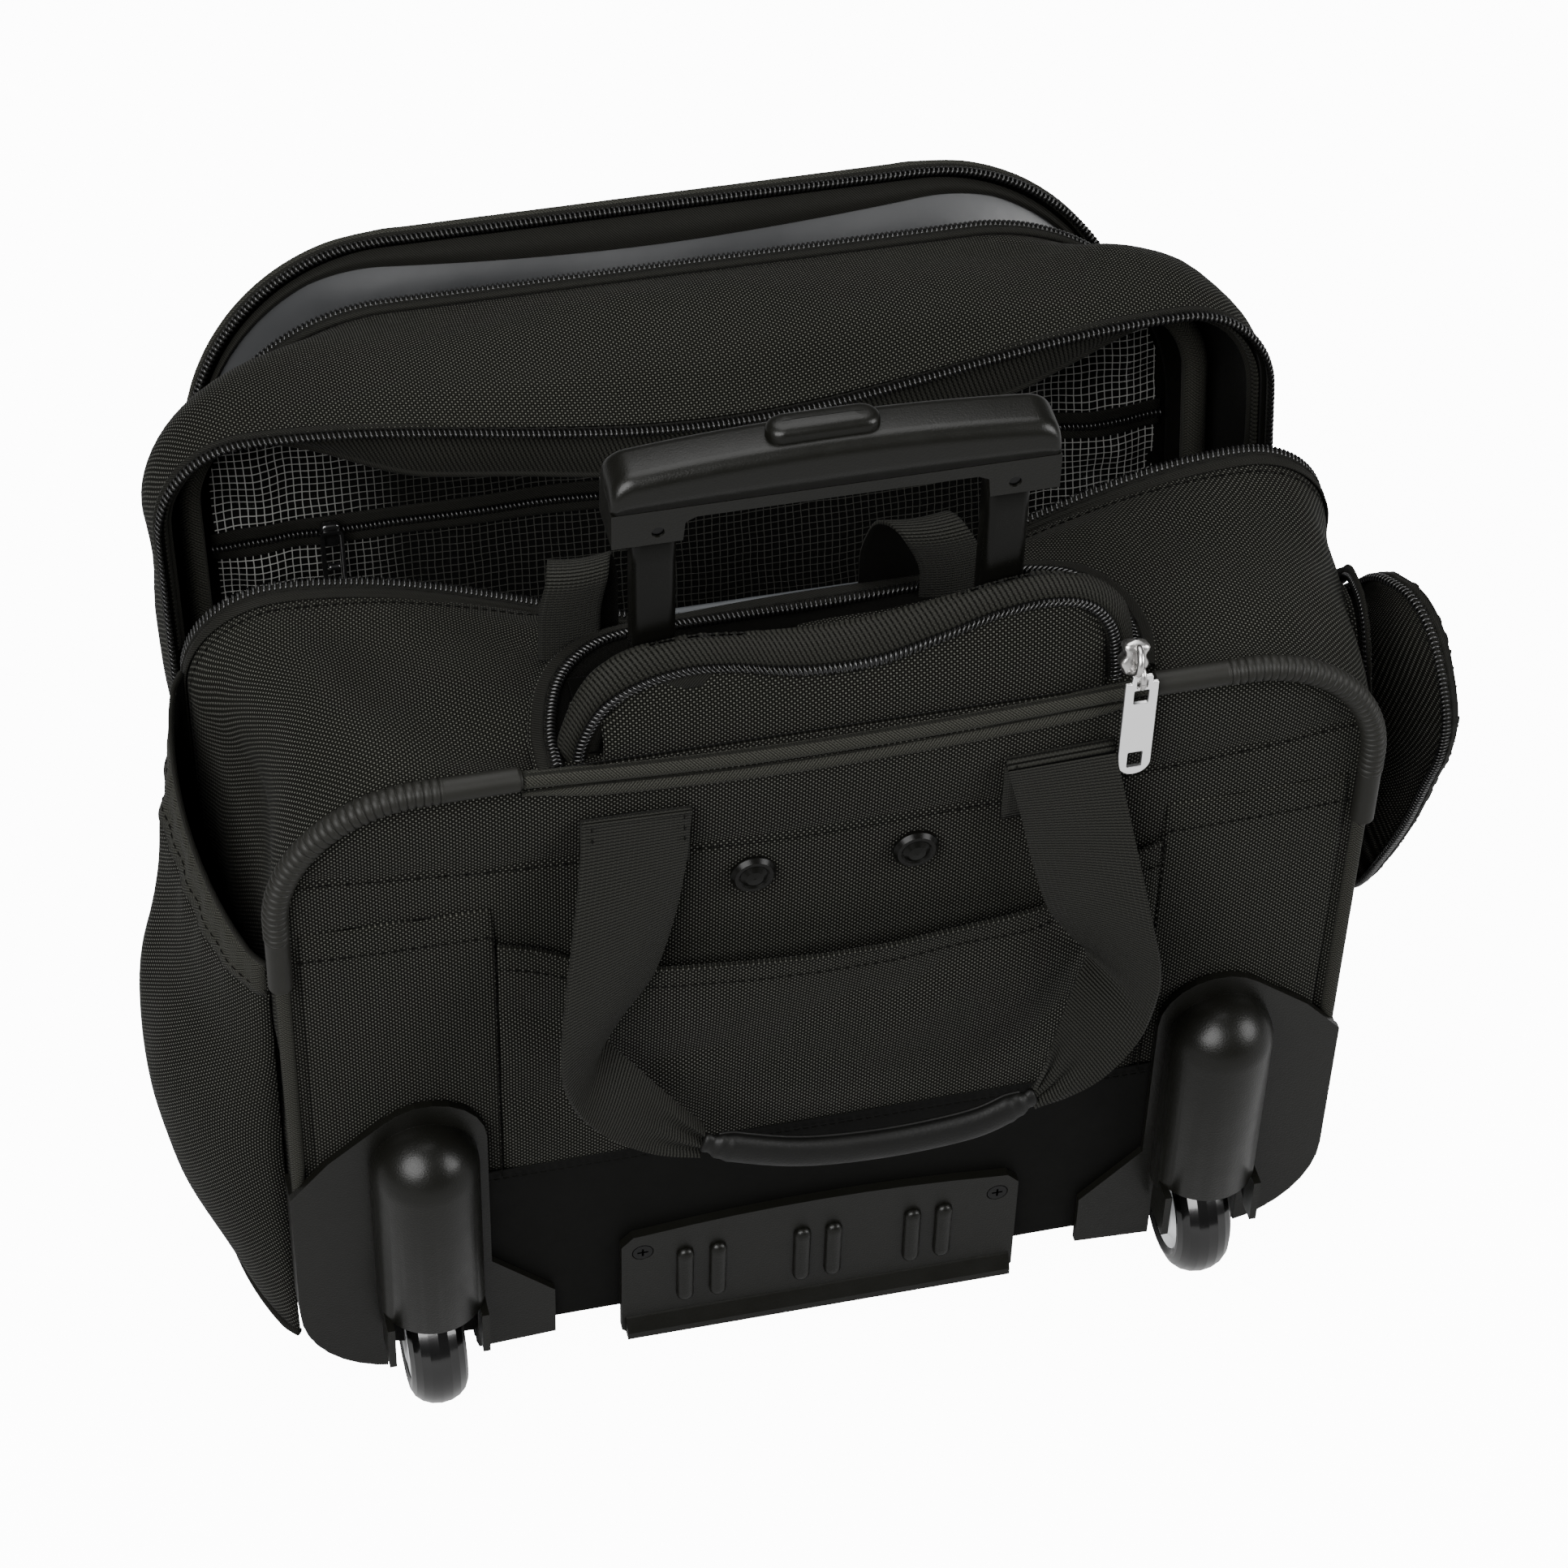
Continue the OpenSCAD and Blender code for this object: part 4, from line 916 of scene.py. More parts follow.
def slip_pocket():
    pieces = []
    foot = 131.0
    for k, (start, end, columns) in enumerate([(-207, -132, 40), (-132, 132, 120), (132, 207, 40)]):
        x = np.linspace(start, end, columns)[None, :]
        share = np.linspace(0, 1, 46)[:, None]
        z = foot + (slip_top(np.clip(x, -131.9, 131.9) if k == 1 else x) - foot) * share
        x = np.broadcast_to(x, z.shape)
        share = np.broadcast_to(share, z.shape)
        flat = np.stack([x, 0 * x, z], axis=-1)
        relief = (2.8 * ripples(flat, 105, 31 + k) + 1.0 * ripples(flat, 38, 41 + k)) * np.sin(math.pi * share * 0.9)
        seam = 1.2 * (bump_at(x, start, 3) + bump_at(x, end, 3))
        if k == 1:
            y = np.minimum(slip_depth(x, share) - np.abs(relief) + seam * 0.6, -0.9)
        else:
            inset = rise(np.minimum(x - start, end - x), 0, 12)
            seated = np.minimum(back_surface(x, z), 0.3)
            y = seated - 0.2 - 0.7 * (1 - rise(share, 0.93, 1.0)) - 0.3 * np.abs(relief) * inset
        points = in_rear(np.stack([x, y, z], axis=-1))
        piece = sheet("slip_pocket_%d" % k, points, "case_back", [M["nylon"], M["inside"]],
                      thick=1.0, uv=planar_uv(x, z), flip=True, replaces=["slip_pocket"])
        pieces.append(piece)
        if k == 1:
            tube("slip_hem", points[-1], 1.05 * MM, "case_back", M["nylon"], sides=8,
                 up=(0, 1, 0))
        hem = points[-5] + np.array([0, -0.35 * MM, 0])
        stitches("slip_hem_stitches_%d" % k, hem, "case_back")
    for x in (-132, 132):
        z = np.linspace(foot, 266, 40)
        line = in_rear(np.stack([np.full(40, x + math.copysign(1.2, x)), np.full(40, -2.7), z], axis=1))
        stitches("slip_seam_%s" % ("left" if x < 0 else "right"), line, "case_back")


def lower_panel():
    """Smooth sheet across the foot of the back panel, hemmed along its top."""
    x, z, width = face_grid(HALF_W - 6, BOTTOM_Z + 4, 133, 38, 1.5, columns=90, rows=40, top_rows=3)
    y = -1.7 - 0.5 * rise(z, 129, 131.5) + 0.25 * ripples(np.stack([x, 0 * x, z], axis=-1), 120, 51)
    points = in_rear(np.stack([x, y, z], axis=-1))
    sheet("lower_panel_sheet", points, "case_back", [M["smooth"]], thick=1.0,
          uv=planar_uv(x, z), flip=True, replaces=["lower_panel"])
    across = np.linspace(-HALF_W + 12, HALF_W - 12, 100)
    line = in_rear(np.stack([across, 0 * across - 2.5, 0 * across + 128.5], axis=1))
    stitches("lower_panel_stitches", line, "case_back")


def corner_guard(name, side):
    """Ribbed rubber guard over a top corner, with a smooth sleeve at each end."""
    bend_x, bend_z = HALF_W - GUARD_BEND, TOP_Z + 2 - GUARD_BEND
    angle = np.radians(np.linspace(0, 90, 300))
    bend = np.stack([bend_x + GUARD_BEND * np.cos(angle), 0 * angle, bend_z + GUARD_BEND * np.sin(angle)], axis=1)
    foot = np.array([[HALF_W, 0, 262.0]])
    end = np.array([[GUARD_END, 0, TOP_Z + 2.0]])
    path = resample(np.concatenate([foot, bend, end]), 1400)
    along = lengths(path)
    sleeve_in, sleeve_out = 27, along[-1] - 29
    inside = rise(along, sleeve_in, sleeve_in + 1.5) * (1 - rise(along, sleeve_out - 1.5, sleeve_out))
    ribs = np.abs(np.sin(along * math.pi / 3.1)) ** 0.45
    radius = 4.75 + inside * (ribs * 0.95 - 0.55)
    radius *= 1 - 0.25 * (1 - rise(along, 0, 1.6)) - 0.25 * rise(along, along[-1] - 1.6, along[-1])
    path = path * np.array([side, 1, 1]) + np.array([0, -1.0, 0])
    tube(name + "_cover", in_rear(path), radius * MM, "case_back", M["rubber"], sides=22,
         up=(0, 1, 0), replaces=[name])


def back_piping():
    """Cords between the guards: two rolls under the handle pocket and one down each side."""
    x = np.linspace(-GUARD_END, GUARD_END, 90)
    sway = 0.5 * np.sin(x / 37.0)
    dip = np.cos(x / GUARD_END * math.pi / 2)
    top_roll = in_rear(np.stack([x, 0 * x - 0.4, TOP_Z + 0.6 - 5.2 * dip + 0.4 * sway], axis=1))
    tube("top_piping", top_roll, 3.4 * MM, "case_back", M["piping"], sides=16, up=(0, 1, 0),
         replaces=["back_piping"])
    taper = 2.9 * MM * (0.35 + 0.65 * rise(GUARD_END - np.abs(x), 0, 30))
    low_roll = in_rear(np.stack([x, 0 * x - 0.6, TOP_Z - 6.6 - 6.2 * dip + sway], axis=1))
    tube("second_piping", low_roll, taper, "case_back", M["piping"], sides=16, up=(0, 1, 0))
    for side, label in ((-1, "left"), (1, "right")):
        z = np.linspace(62, 263, 70)
        inset = 40 * (1 - np.cos(np.clip((67 - z) / 40, 0, 1)))
        path = in_rear(np.stack([side * (HALF_W - 0.5 - inset), 0 * z + 0.6, z], axis=1))
        tube("side_piping_" + label, path, 3.0 * MM, "case_back", M["piping"], sides=14,
             up=(0, 1, 0))


def bottom():
    """Bottom cloth, from the back panel's foot to the front edge."""
    x = np.linspace(-HALF_W + 13, HALF_W - 13, 50)[None, :]
    y = np.linspace(45, REAR_DEPTH + 66, 36)[:, None]
    x, y = np.broadcast_arrays(x, y)
    z = BOTTOM_Z + 0.6 + 0.3 * ripples(np.stack([x, y, 0 * x], axis=-1), 90, 61)
    sheet("bottom_cloth", in_rear(np.stack([x, y, z], axis=-1)), "case_back",
          [M["nylon"], M["inside"]], thick=1.5, replaces=["bottom_panel"])


def joining_fold():
    """Cloth fold at the foot of both zips, from the rear half to the front half."""
    rear = loop_at(REAR_STATIONS[-2], 1.5)
    front = loop_at(FRONT_STATIONS[1], 1.5)
    keep = rear[:, 2] < 74
    order = np.roll(np.arange(len(rear)), len(rear) // 2)
    order = order[keep[order]]
    start = rear[order] - np.array([0, 6, 0])
    end = tip(front[order] + np.array([0, 6, 0]), FRONT_HINGE, FRONT_OPEN)
    share = np.linspace(0, 1, 16)[:, None, None]
    points = start[None] * (1 - share) + end[None] * share
    pinch = np.sin(math.pi * share[..., 0]) * 4
    centre = np.array([0, 0, 120.0])
    points = points + unit(centre - points) * pinch[..., None]
    obj = sheet("joining_fold", place(points), None, [M["nylon"], M["inside"]], thick=1.0)
    apply_modifier(obj, "thickness")
    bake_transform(obj)


# ---- Left bottle pocket ----

def side_x(y):
    return np.interp(y, [s[0] for s in REAR_STATIONS], [s[1] for s in REAR_STATIONS])


def side_pocket_left():
    span = cad_mm("side_pocket_left")
    start, end = span[0][1], span[1][1]
    t = np.linspace(0, 1, 70)[None, :]
    s = np.linspace(0, 1, 64)[:, None]
    y = start + (end - start) * t + 0 * s
    bulge = 46 * np.sin(np.radians(24 + 134 * s)) ** 1.5 - 9 * s + 13 * rise(s, 0.72, 1.0)
    cross = np.sin(math.pi * t) ** 0.62
    mouth = 229 + 60 * t
    z = BOTTOM_Z + 6 + s * mouth + 0 * y
    flat = np.stack([0 * y, y, z], axis=-1)
    gather = 0.7 * np.sin(t * 2 * math.pi * 7 + 3 * s) * rise(s, 0.78, 0.95) * (1 - rise(s, 0.95, 1.0))
    tall = flat * np.array([1.0, 1.0, 0.5])
    folds = (6.0 * ripples(tall, 100, 71) + 2.0 * ripples(tall, 44, 72)) * np.sin(math.pi * np.clip(s, 0, 1)) ** 0.5
    folds = folds + 3.2 * bump_at(t, 0.42 + 0.25 * s, 0.07) * rise(s, 0.3, 0.9) * (1 - rise(s, 0.92, 1.0))
    drawn = 2.2 * bump_at(s, 0.945, 0.02)
    x = -(side_x(y) + 2.2 + (bulge - drawn) * cross + (gather + folds) * np.sin(math.pi * t) ** 0.4)
    points = np.stack([x, y, z], axis=-1)
    sheet("side_pocket_cloth", in_rear(points), "case_back", [M["nylon"], M["inside"]],
          thick=1.1, replaces=["side_pocket_left"])
    band = points[-6:] + np.array([-0.9, 0, 0])
    sheet("side_pocket_hem", in_rear(band), "case_back", [M["piping"]], thick=0.6)
    rim = smooth_curve(points[-1][::3], 160)
    tube("side_pocket_binding", in_rear(rim), 2.3 * MM, "case_back", M["binding"], sides=12,
         up=unit(np.array([1.0, 0.0, 0.3])), flat=0.45)
    inner = points[-5] + np.array([-0.9, 0, 0])
    stitches("side_pocket_stitches", in_rear(smooth_curve(inner[::3], 120)), "case_back", lift=(-1, 0, 0))
    foot = points[0] + np.array([0, 0, -1.0])
    tube("side_pocket_foot", in_rear(smooth_curve(foot[::3], 120)), 1.8 * MM, "case_back",
         M["binding"], sides=10)


# ---- Right zipped pocket ----

SIDE_HINGE = ((JOINTS["side_pocket_swing"]["pos_m"][0]) / MM,
              (JOINTS["side_pocket_swing"]["pos_m"][1] - BACK_Y) / MM)
SIDE_OPEN = -JOINTS["side_pocket_swing"]["range_deg"][0]
SIDE_ANGLE = math.degrees(math.atan((side_x(SIDE_HINGE[1]) - side_x(12)) / (SIDE_HINGE[1] - 12)))


def in_side(points, opened=True):
    """From the side panel's own layout (outwards, back from its hinge, up) to the case's."""
    points = np.asarray(points, float)
    angle = math.radians((SIDE_OPEN if opened else 0) - SIDE_ANGLE)
    w, u = points[..., 0], -points[..., 1]
    return np.stack([SIDE_HINGE[0] + w * math.cos(angle) - u * math.sin(angle),
                     SIDE_HINGE[1] + w * math.sin(angle) + u * math.cos(angle),
                     points[..., 2]], axis=-1)


SIDE_RIM = [(0, 266), (10, 285), (23, 302), (33, 313), (53, 319), (67, 313), (77, 300), (86, 278), (86, 257), (81, 237),
            (73, 205), (62, 174), (51, 149), (36, 138), (16, 137), (0, 137)]


def side_rim(count=72):
    """Edge of the side panel as back-from-hinge and up, from the top of its hinge side round to the foot."""
    return smooth_curve(SIDE_RIM, count)


def side_panel():
    rim = side_rim()
    rows = []
    middle = np.array([34.0, 236.0])
    share = (lengths(rim) / lengths(rim)[-1])[:, None]
    hinge_line = rim[:1] * (1 - share) + rim[-1:] * share
    for t in np.linspace(0, 1, 26):
        ring = rim * (1 - t) + hinge_line * t
        puff = 10.0 * math.sin(math.pi / 2 * min(t * 4.0, 1)) ** 0.7
        w = 1.0 + puff * rise(ring[:, 0], -4, 22) ** 0.5
        rows.append(np.stack([w, ring[:, 0], ring[:, 1]], axis=1))
    points = np.array(rows)
    points[..., 0] += 1.2 * ripples(points, 45, 81) * np.linspace(0, 1, 26)[:, None] ** 0.5
    uv = points[..., 1:] * MM
    sheet("side_panel_cloth", place(in_side(points)), "side_pocket_panel",
          [M["nylon"], M["inside"]], thick=1.2, replaces=["side_panel_right"], uv=uv, flip=True)
    path = np.stack([0 * rim[:, 0] - 0.4, rim[:, 0], rim[:, 1]], axis=1)
    path = smooth_curve(path[1:-1:2], 240)
    middle3 = np.array([0.0, *middle])
    away = unit(path - middle3)
    world = place(in_side(path))
    lift_world = unit(place(in_side(path + away)) - world)
    inward_world = unit(place(in_side(path + np.array([1.0, 0, 0]))) - world)
    zip_half("side_zip_outer", world - inward_world * 2.0 * MM, inward_world, lift_world, "side_pocket_panel", tape=6,
             replaces=["side_zipper_outer"], pitch=1.9, reach=2.6, wire=0.5)
    closed = place(in_side(path + np.array([-0.6, 0, 0]) + away * 2.0, opened=False))
    out = unit(place(in_side(path + np.array([1.0, 0, 0]), opened=False)) - place(in_side(path, opened=False)))
    toward = unit(place(in_side(path + away, opened=False)) - place(in_side(path, opened=False)))
    zip_half("side_zip_inner", closed + out * 1.2 * MM, toward, out, "case_back", tape=7,
             replaces=["side_zipper_inner"], pitch=1.9, reach=2.6, wire=0.5)
    # folded gusset between the two zips
    a = in_side(path + np.array([-2.8, 0, 0]) - away * 1.0, opened=False)
    b = in_side(path - away * 1.5)
    share = np.linspace(0, 1, 14)[:, None, None]
    web = a[None] * (1 - share) + b[None] * share
    hinge = in_side(np.array([-4.0, 14.0, 232.0]))
    pull_in = 0.62 * np.sin(math.pi * share) ** 0.8 + 0.04 * np.sin(5 * math.pi * share)
    fold = web + (hinge - web) * pull_in * rise(path[:, 1], 0, 40)[None, :, None]
    tucked = in_side(path + np.array([-14.0, 0, 0]) - away * 1.0, opened=False)
    fold = np.concatenate([tucked[None], (tucked * 0.5 + a * 0.5)[None], fold])
    obj = sheet("side_gusset", place(fold), None, [M["inside"], M["nylon"]], thick=0.8)
    apply_modifier(obj, "thickness")
    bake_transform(obj)
    # cloth hinge along the panel's front edge
    z = np.linspace(137, 268, 30)
    strip = np.array([np.stack([0 * z + w, 0 * z + u, z], axis=1) for w, u in ((-7, -18), (0, -9), (2.2, -2), (1.2, 4))])
    sheet("side_hinge_cloth", place(in_side(strip, opened=False)), "case_back", [M["nylon"]],
          thick=1.0)


back_panel()
rear_gusset()
rear_inside()
slip_pocket()
lower_panel()
corner_guard("corner_guard_left", -1)
corner_guard("corner_guard_right", 1)
back_piping()
bottom()
joining_fold()
side_pocket_left()
side_panel()


# ---- Padding by cloth simulation ----

def inflate(obj, voxel=5.0, pressure=4.0, cap=5.0, frames=20):
    """Remeshes a closed solid and swells it like a filled pad; no point moves more than cap."""
    remesh = obj.modifiers.new("remesh", "REMESH")
    remesh.mode = "VOXEL"
    remesh.voxel_size = voxel * MM
    apply_modifier(obj, "remesh")
    count = len(obj.data.vertices)
    start = np.zeros(count * 3, np.float32)
    obj.data.vertices.foreach_get("co", start)
    cloth = obj.modifiers.new("cloth", "CLOTH")
    cloth.settings.use_pressure = True
    cloth.settings.uniform_pressure_force = pressure
    cloth.settings.effector_weights.gravity = 0
    cloth.settings.quality = 5
    cloth.point_cache.frame_start = 1
    cloth.point_cache.frame_end = frames
    scene = bpy.context.scene
    for step in range(1, frames + 1):
        scene.frame_set(step)
    depsgraph = bpy.context.evaluated_depsgraph_get()
    moved = np.zeros(count * 3, np.float32)
    obj.evaluated_get(depsgraph).data.vertices.foreach_get("co", moved)
    obj.modifiers.remove(cloth)
    scene.frame_set(1)
    shift = (moved - start).reshape(-1, 3)
    length = np.linalg.norm(shift, axis=1, keepdims=True)
    shift *= np.minimum(1, cap * MM / np.maximum(length, 1e-9))
    obj.data.vertices.foreach_set("co", (start.reshape(-1, 3) + shift).ravel())
    obj.data.update()
    subdivision = obj.modifiers.new("smooth", "SUBSURF")
    subdivision.levels = 1
    subdivision.render_levels = 1
    for polygon in obj.data.polygons:
        polygon.use_smooth = True
    return obj


def pad_solid(name, loop, y_front, y_back, lean=None):
    """Closed slab between two depths, whose outline is a loop of x and z."""
    middle = loop.mean(axis=0)
    rings = []
    for y, shrink in ((y_front, 0.02), (y_front, 0.5), (y_front, 1.0), (y_back, 1.0), (y_back, 0.5), (y_back, 0.02)):
        flat = middle + (loop - middle) * shrink
        rings.append(spread(flat, y))
    points = np.array(rings)
    if lean is not None:
        points[..., 1] += lean(points[..., 2])
    return new_mesh(name, in_rear(points).reshape(-1, 3), grid_quads(len(rings), len(loop), closed=True))


def laptop_sleeve():
    """Padded sleeve: a dark pad against the tubes and a grey one that leans into the opening."""
    low, high = cad_mm("laptop_sleeve")
    half = high[0] - 3
    back_loop = outline(half, low[2] + 2, high[2] - 6, 12, 40)[::3]
    front_loop = outline(half, low[2] + 2, high[2] + 7, 12, 110)[::3]
    back = pad_solid("sleeve_back_pad", back_loop, low[1] + 2, low[1] + 8)
    inflate(back, cap=3.0)
    finish(back, "case_back", [M["inside"]], ["laptop_sleeve"])
    front = pad_solid("sleeve_front_pad", front_loop, high[1] - 8, high[1] - 1,
                      lean=lambda z: 26 * rise(z, 150, 312))
    inflate(front, cap=4.0)
    finish(front, "case_back", [M["sleeve"]], ["laptop_sleeve"])
    x = np.linspace(-92, 92, 80)
    z = high[2] - 4 - 6.5 * (x / 92) ** 2
    y = high[1] - 10.6 + 26 * rise(z, 150, 312)
    stitches("sleeve_stitches", in_rear(np.stack([x, y, z], axis=1)), "case_back")


def sleeve_loop(name, left, right, top, lean, y=74.0):
    """Hold-down strap of the sleeve: webbing that rises, leans sideways and folds over on itself."""
    turn = np.linspace(0, math.pi, 14)
    up = np.stack([np.full(12, y + 7), np.linspace(top - 62, top - 8, 12)], axis=1)
    over = np.stack([y + 7 * np.cos(turn), top - 7 + 7 * np.sin(turn)], axis=1)
    down = np.stack([np.linspace(y - 7, y - 4, 10), np.linspace(top - 8, top - 52, 10)], axis=1)
    line = np.concatenate([up, over, down])
    x = np.linspace(left, right, 12)
    bow = 1.6 * np.sin(math.pi * (x - left) / (right - left))
    distance = lengths(line)[:, None] + 0 * x[None, :]
    far = 1 - rise(distance, 40, 96)
    points = np.stack([
        x[None, :] + lean * far,
        line[:, :1] - bow[None, :],
        line[:, 1:] + 0 * x[None, :],
    ], axis=-1)
    uv = np.stack([x[None, :] + 0 * distance, distance], axis=-1) * MM
    sheet(name, in_rear(points), "case_back", [M["webbing"], M["inside"]], thick=1.5, uv=uv)


# ---- Handle pocket ----

FLAP_X = (-89.0, 103.0)
FLAP_TEETH = [(-99, 6, 349), (-97, 7, 362), (-88, 8, 378), (-73, 8.5, 387), (-56, 8.5, 390.5), (-38, 8.5, 388.5),
              (-22, 8, 384.5), (-6, 8, 382), (16, 8, 382.5), (40, 8.5, 389), (62, 9, 396), (82, 9, 398),
              (97, 9, 393), (106, 8, 381), (109, 7, 364), (109, 6, 356)]
FLAP_RIM = [(-104, 10, 350), (-102, 12, 364), (-92, 15, 385), (-76, 17, 396), (-55, 18, 399), (-36, 18, 397),
            (-16, 17, 394.5), (8, 17, 394.5), (36, 17, 398), (62, 18, 404), (82, 18, 405), (98, 17, 399),
            (111, 15, 386), (115, 12, 368), (115, 10, 358)]


def with_flap(obj):
    """Applies the modifiers of a piece of the handle pocket's flap and bakes its transform into its mesh."""
    for modifier in list(obj.modifiers):
        apply_modifier(obj, modifier.name)
    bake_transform(obj)
    return obj


def handle_flap():
    teeth = smooth_curve(FLAP_TEETH, 260)
    rim = smooth_curve(FLAP_RIM, 260)
    top = np.interp(np.linspace(*FLAP_X, 110), teeth[:, 0], teeth[:, 2]) - 0.5
    x = np.linspace(*FLAP_X, 110)
    share = np.linspace(0, 1, 26)[:, None]
    corner = 5 * (bump_at(x, FLAP_X[0], 7) + bump_at(x, FLAP_X[1], 7))
    z = 351 + (top - corner - 351) * share
    flat = np.stack([x + 0 * z, 0 * z, z], axis=-1)
    y = 3.0 + 5.5 * share - 2.6 * np.sin(math.pi * share) + 0.7 * ripples(flat, 50, 91)
    points = in_rear(np.stack([x + 0 * z, y, z], axis=-1))
    face = sheet("handle_flap_cloth", points, None, [M["nylon"], M["inside"]], thick=1.4,
                 flip=True, replaces=["handle_flap"], uv=planar_uv(x + 0 * z, z))
    with_flap(face)
    down = np.array([0.0, -0.3, -1.0])
    centre = np.array([8.0, 6.0, 340.0])
    inward = unit(unit(centre - teeth) * 0.6 + down * 0.4)
    ease = rise(np.abs(teeth[:, 0] - 5), 82, 100)[:, None]
    inward = unit(down * (1 - ease) + np.sign(5 - teeth[:, :1]) * np.array([1.0, 0, 0]) * ease)
    binding = np.array([teeth + inward * step + np.array([0, 0.6, 0]) for step in (-0.5, 2, 5, 8.5)])
    tape = sheet("handle_flap_tape", in_rear(binding), None, [M["binding"]], thick=0.7,
                 replaces=["handle_flap_zipper"])
    with_flap(tape)
    row = coil_teeth("handle_flap_teeth", in_rear(teeth + np.array([0, -0.6, 0])), inward, (0, -1, 0.25), None,
                     pitch=1.9, reach=2.7, wire=0.5)
    with_flap(row)
    # ribbed band from the teeth to the flap's rounded rim, rolled over at the back
    steps = []
    for t in np.linspace(0, 1, 12):
        swell = np.array([0, -1.2, 1.4]) * math.sin(math.pi * t)
        steps.append((teeth + np.array([0, 1.6, 0])) * (1 - t) + rim * t + swell)
    for t in np.linspace(0.2, 1, 6):
        steps.append(rim + np.array([0, 4.5 * t, -9 * t ** 2]))
    steps = np.array(steps)
    steps[..., 1] = np.minimum(steps[..., 1], 16.4)
    band = sheet("handle_flap_band", in_rear(steps), None, [M["inside"], M["ribbed"]],
                 thick=1.2)
    with_flap(band)


REAR_U = [(-106, 2, 355.5), (-105, 20, 356), (-98, 43, 356), (-86, 58, 355.5), (-68, 66, 354.5), (-30, 69, 352),
          (10, 70, 351), (50, 71, 352), (80, 71, 353.5), (104, 64, 355), (117, 46, 356), (120, 26, 356.5),
          (116, 8, 357)]


def handle_rear_zip():
    path = smooth_curve(REAR_U, 300)
    centre = np.array([7.0, 22.0, 355.0])
    away = unit((path - centre) * np.array([1, 1, 0]))
    zip_half("handle_rear_zip", in_rear(path + np.array([0, 0, 1.2])), away, (0, 0, 1), "case_back", tape=8,
             replaces=["handle_zipper_rear"], pitch=1.9, reach=2.7, wire=0.5)
    outer = path + away * 8.4
    fold = tube("handle_rear_fold", in_rear(outer + np.array([0, 0, 0.2])), 1.1 * MM, "case_back",
                M["nylon"], sides=8)
    rows = np.array([path - away * step + np.array([0, 0, -drop]) for step, drop in
                     ((-1.0, 0.2), (2, 1.2), (6, 4.0), (9, 9.0))])
    sheet("handle_well_cloth", in_rear(rows), "case_back", [M["inside"]], thick=0.6)
    return fold


def zip_slider(name, centre, forward, lift, size, body, material, replaces=()):
    """A slider: a waisted body with two shoulders and a bail for the pull."""
    forward, lift = unit(np.asarray(forward, float)), unit(np.asarray(lift, float))
    side = np.cross(forward, lift)
    length, width, height = size
    t = np.linspace(-0.5, 0.5, 15)
    waist = width / 2 * (0.72 + 0.28 * np.cos(2 * math.pi * (t + 0.12)) ** 2) * np.sqrt(np.clip(1 - (2 * t) ** 6, 0.02, 1))
    angle = np.linspace(0, 2 * math.pi, 20, endpoint=False)
    square = np.abs(np.stack([np.cos(angle), np.sin(angle)])) ** 0.45 * np.sign([np.cos(angle), np.sin(angle)])
    rings = (np.asarray(centre, float)[None, None] + (t * length)[:, None, None] * forward
             + (waist[:, None] * square[0])[..., None] * side
             + (0.5 * height * np.sqrt(np.clip(1 - (2 * t) ** 6, 0.02, 1))[:, None] * square[1])[..., None] * lift)
    body_piece = new_mesh(name + "_body", in_rear(rings).reshape(-1, 3), grid_quads(15, 20, closed=True))
    finish(body_piece, body, [material], replaces)
    arch = np.linspace(0, math.pi, 14)
    bail = (np.asarray(centre, float) + (np.cos(arch) * length * 0.36)[:, None] * forward
            + (height * 0.45 + np.sin(arch) * height * 0.75)[:, None] * lift)
    tube(name + "_bail", in_rear(bail), width * 0.13 * MM, body, material, sides=10, up=side)
    return body_piece


def zip_pull():
    """The silver pull keeps its packed plate; its edges are rounded and it hangs from a looped link."""
    plate = frame["nodes"]["zip_pull"]
    plate.modifiers.new("weld", "WELD").merge_threshold = 0.01 * MM
    bevel = plate.modifiers.new("bevel", "BEVEL")
    bevel.width = 0.45 * MM
    bevel.segments = 3
    bevel.limit_method = "ANGLE"
    plate.data.materials.clear()
    plate.data.materials.append(M["pull"])
    low, high = cad_mm("zip_pull")
    x = (low[0] + high[0]) / 2
    zip_slider("handle_slider", (x - 1.5, 0.5, high[2] + 2.5), (0.15, 0.25, 1), (0.0, -1, 0.35), (15, 11.5, 7.5),
               "case_back", M["chrome"], replaces=["handle_zip_slider"])
    angle = np.linspace(0, 2 * math.pi, 28)
    loop = np.stack([x + 0 * angle, -5.6 - 3.4 * np.cos(angle), high[2] - 2.5 + 4.6 * np.sin(angle)], axis=1)
    tube("pull_link", in_rear(loop), 1.25 * MM, "silver_pull", M["chrome"], sides=10,
         up=(1, 0, 0), capped=False)


# ---- Trolley grip ----

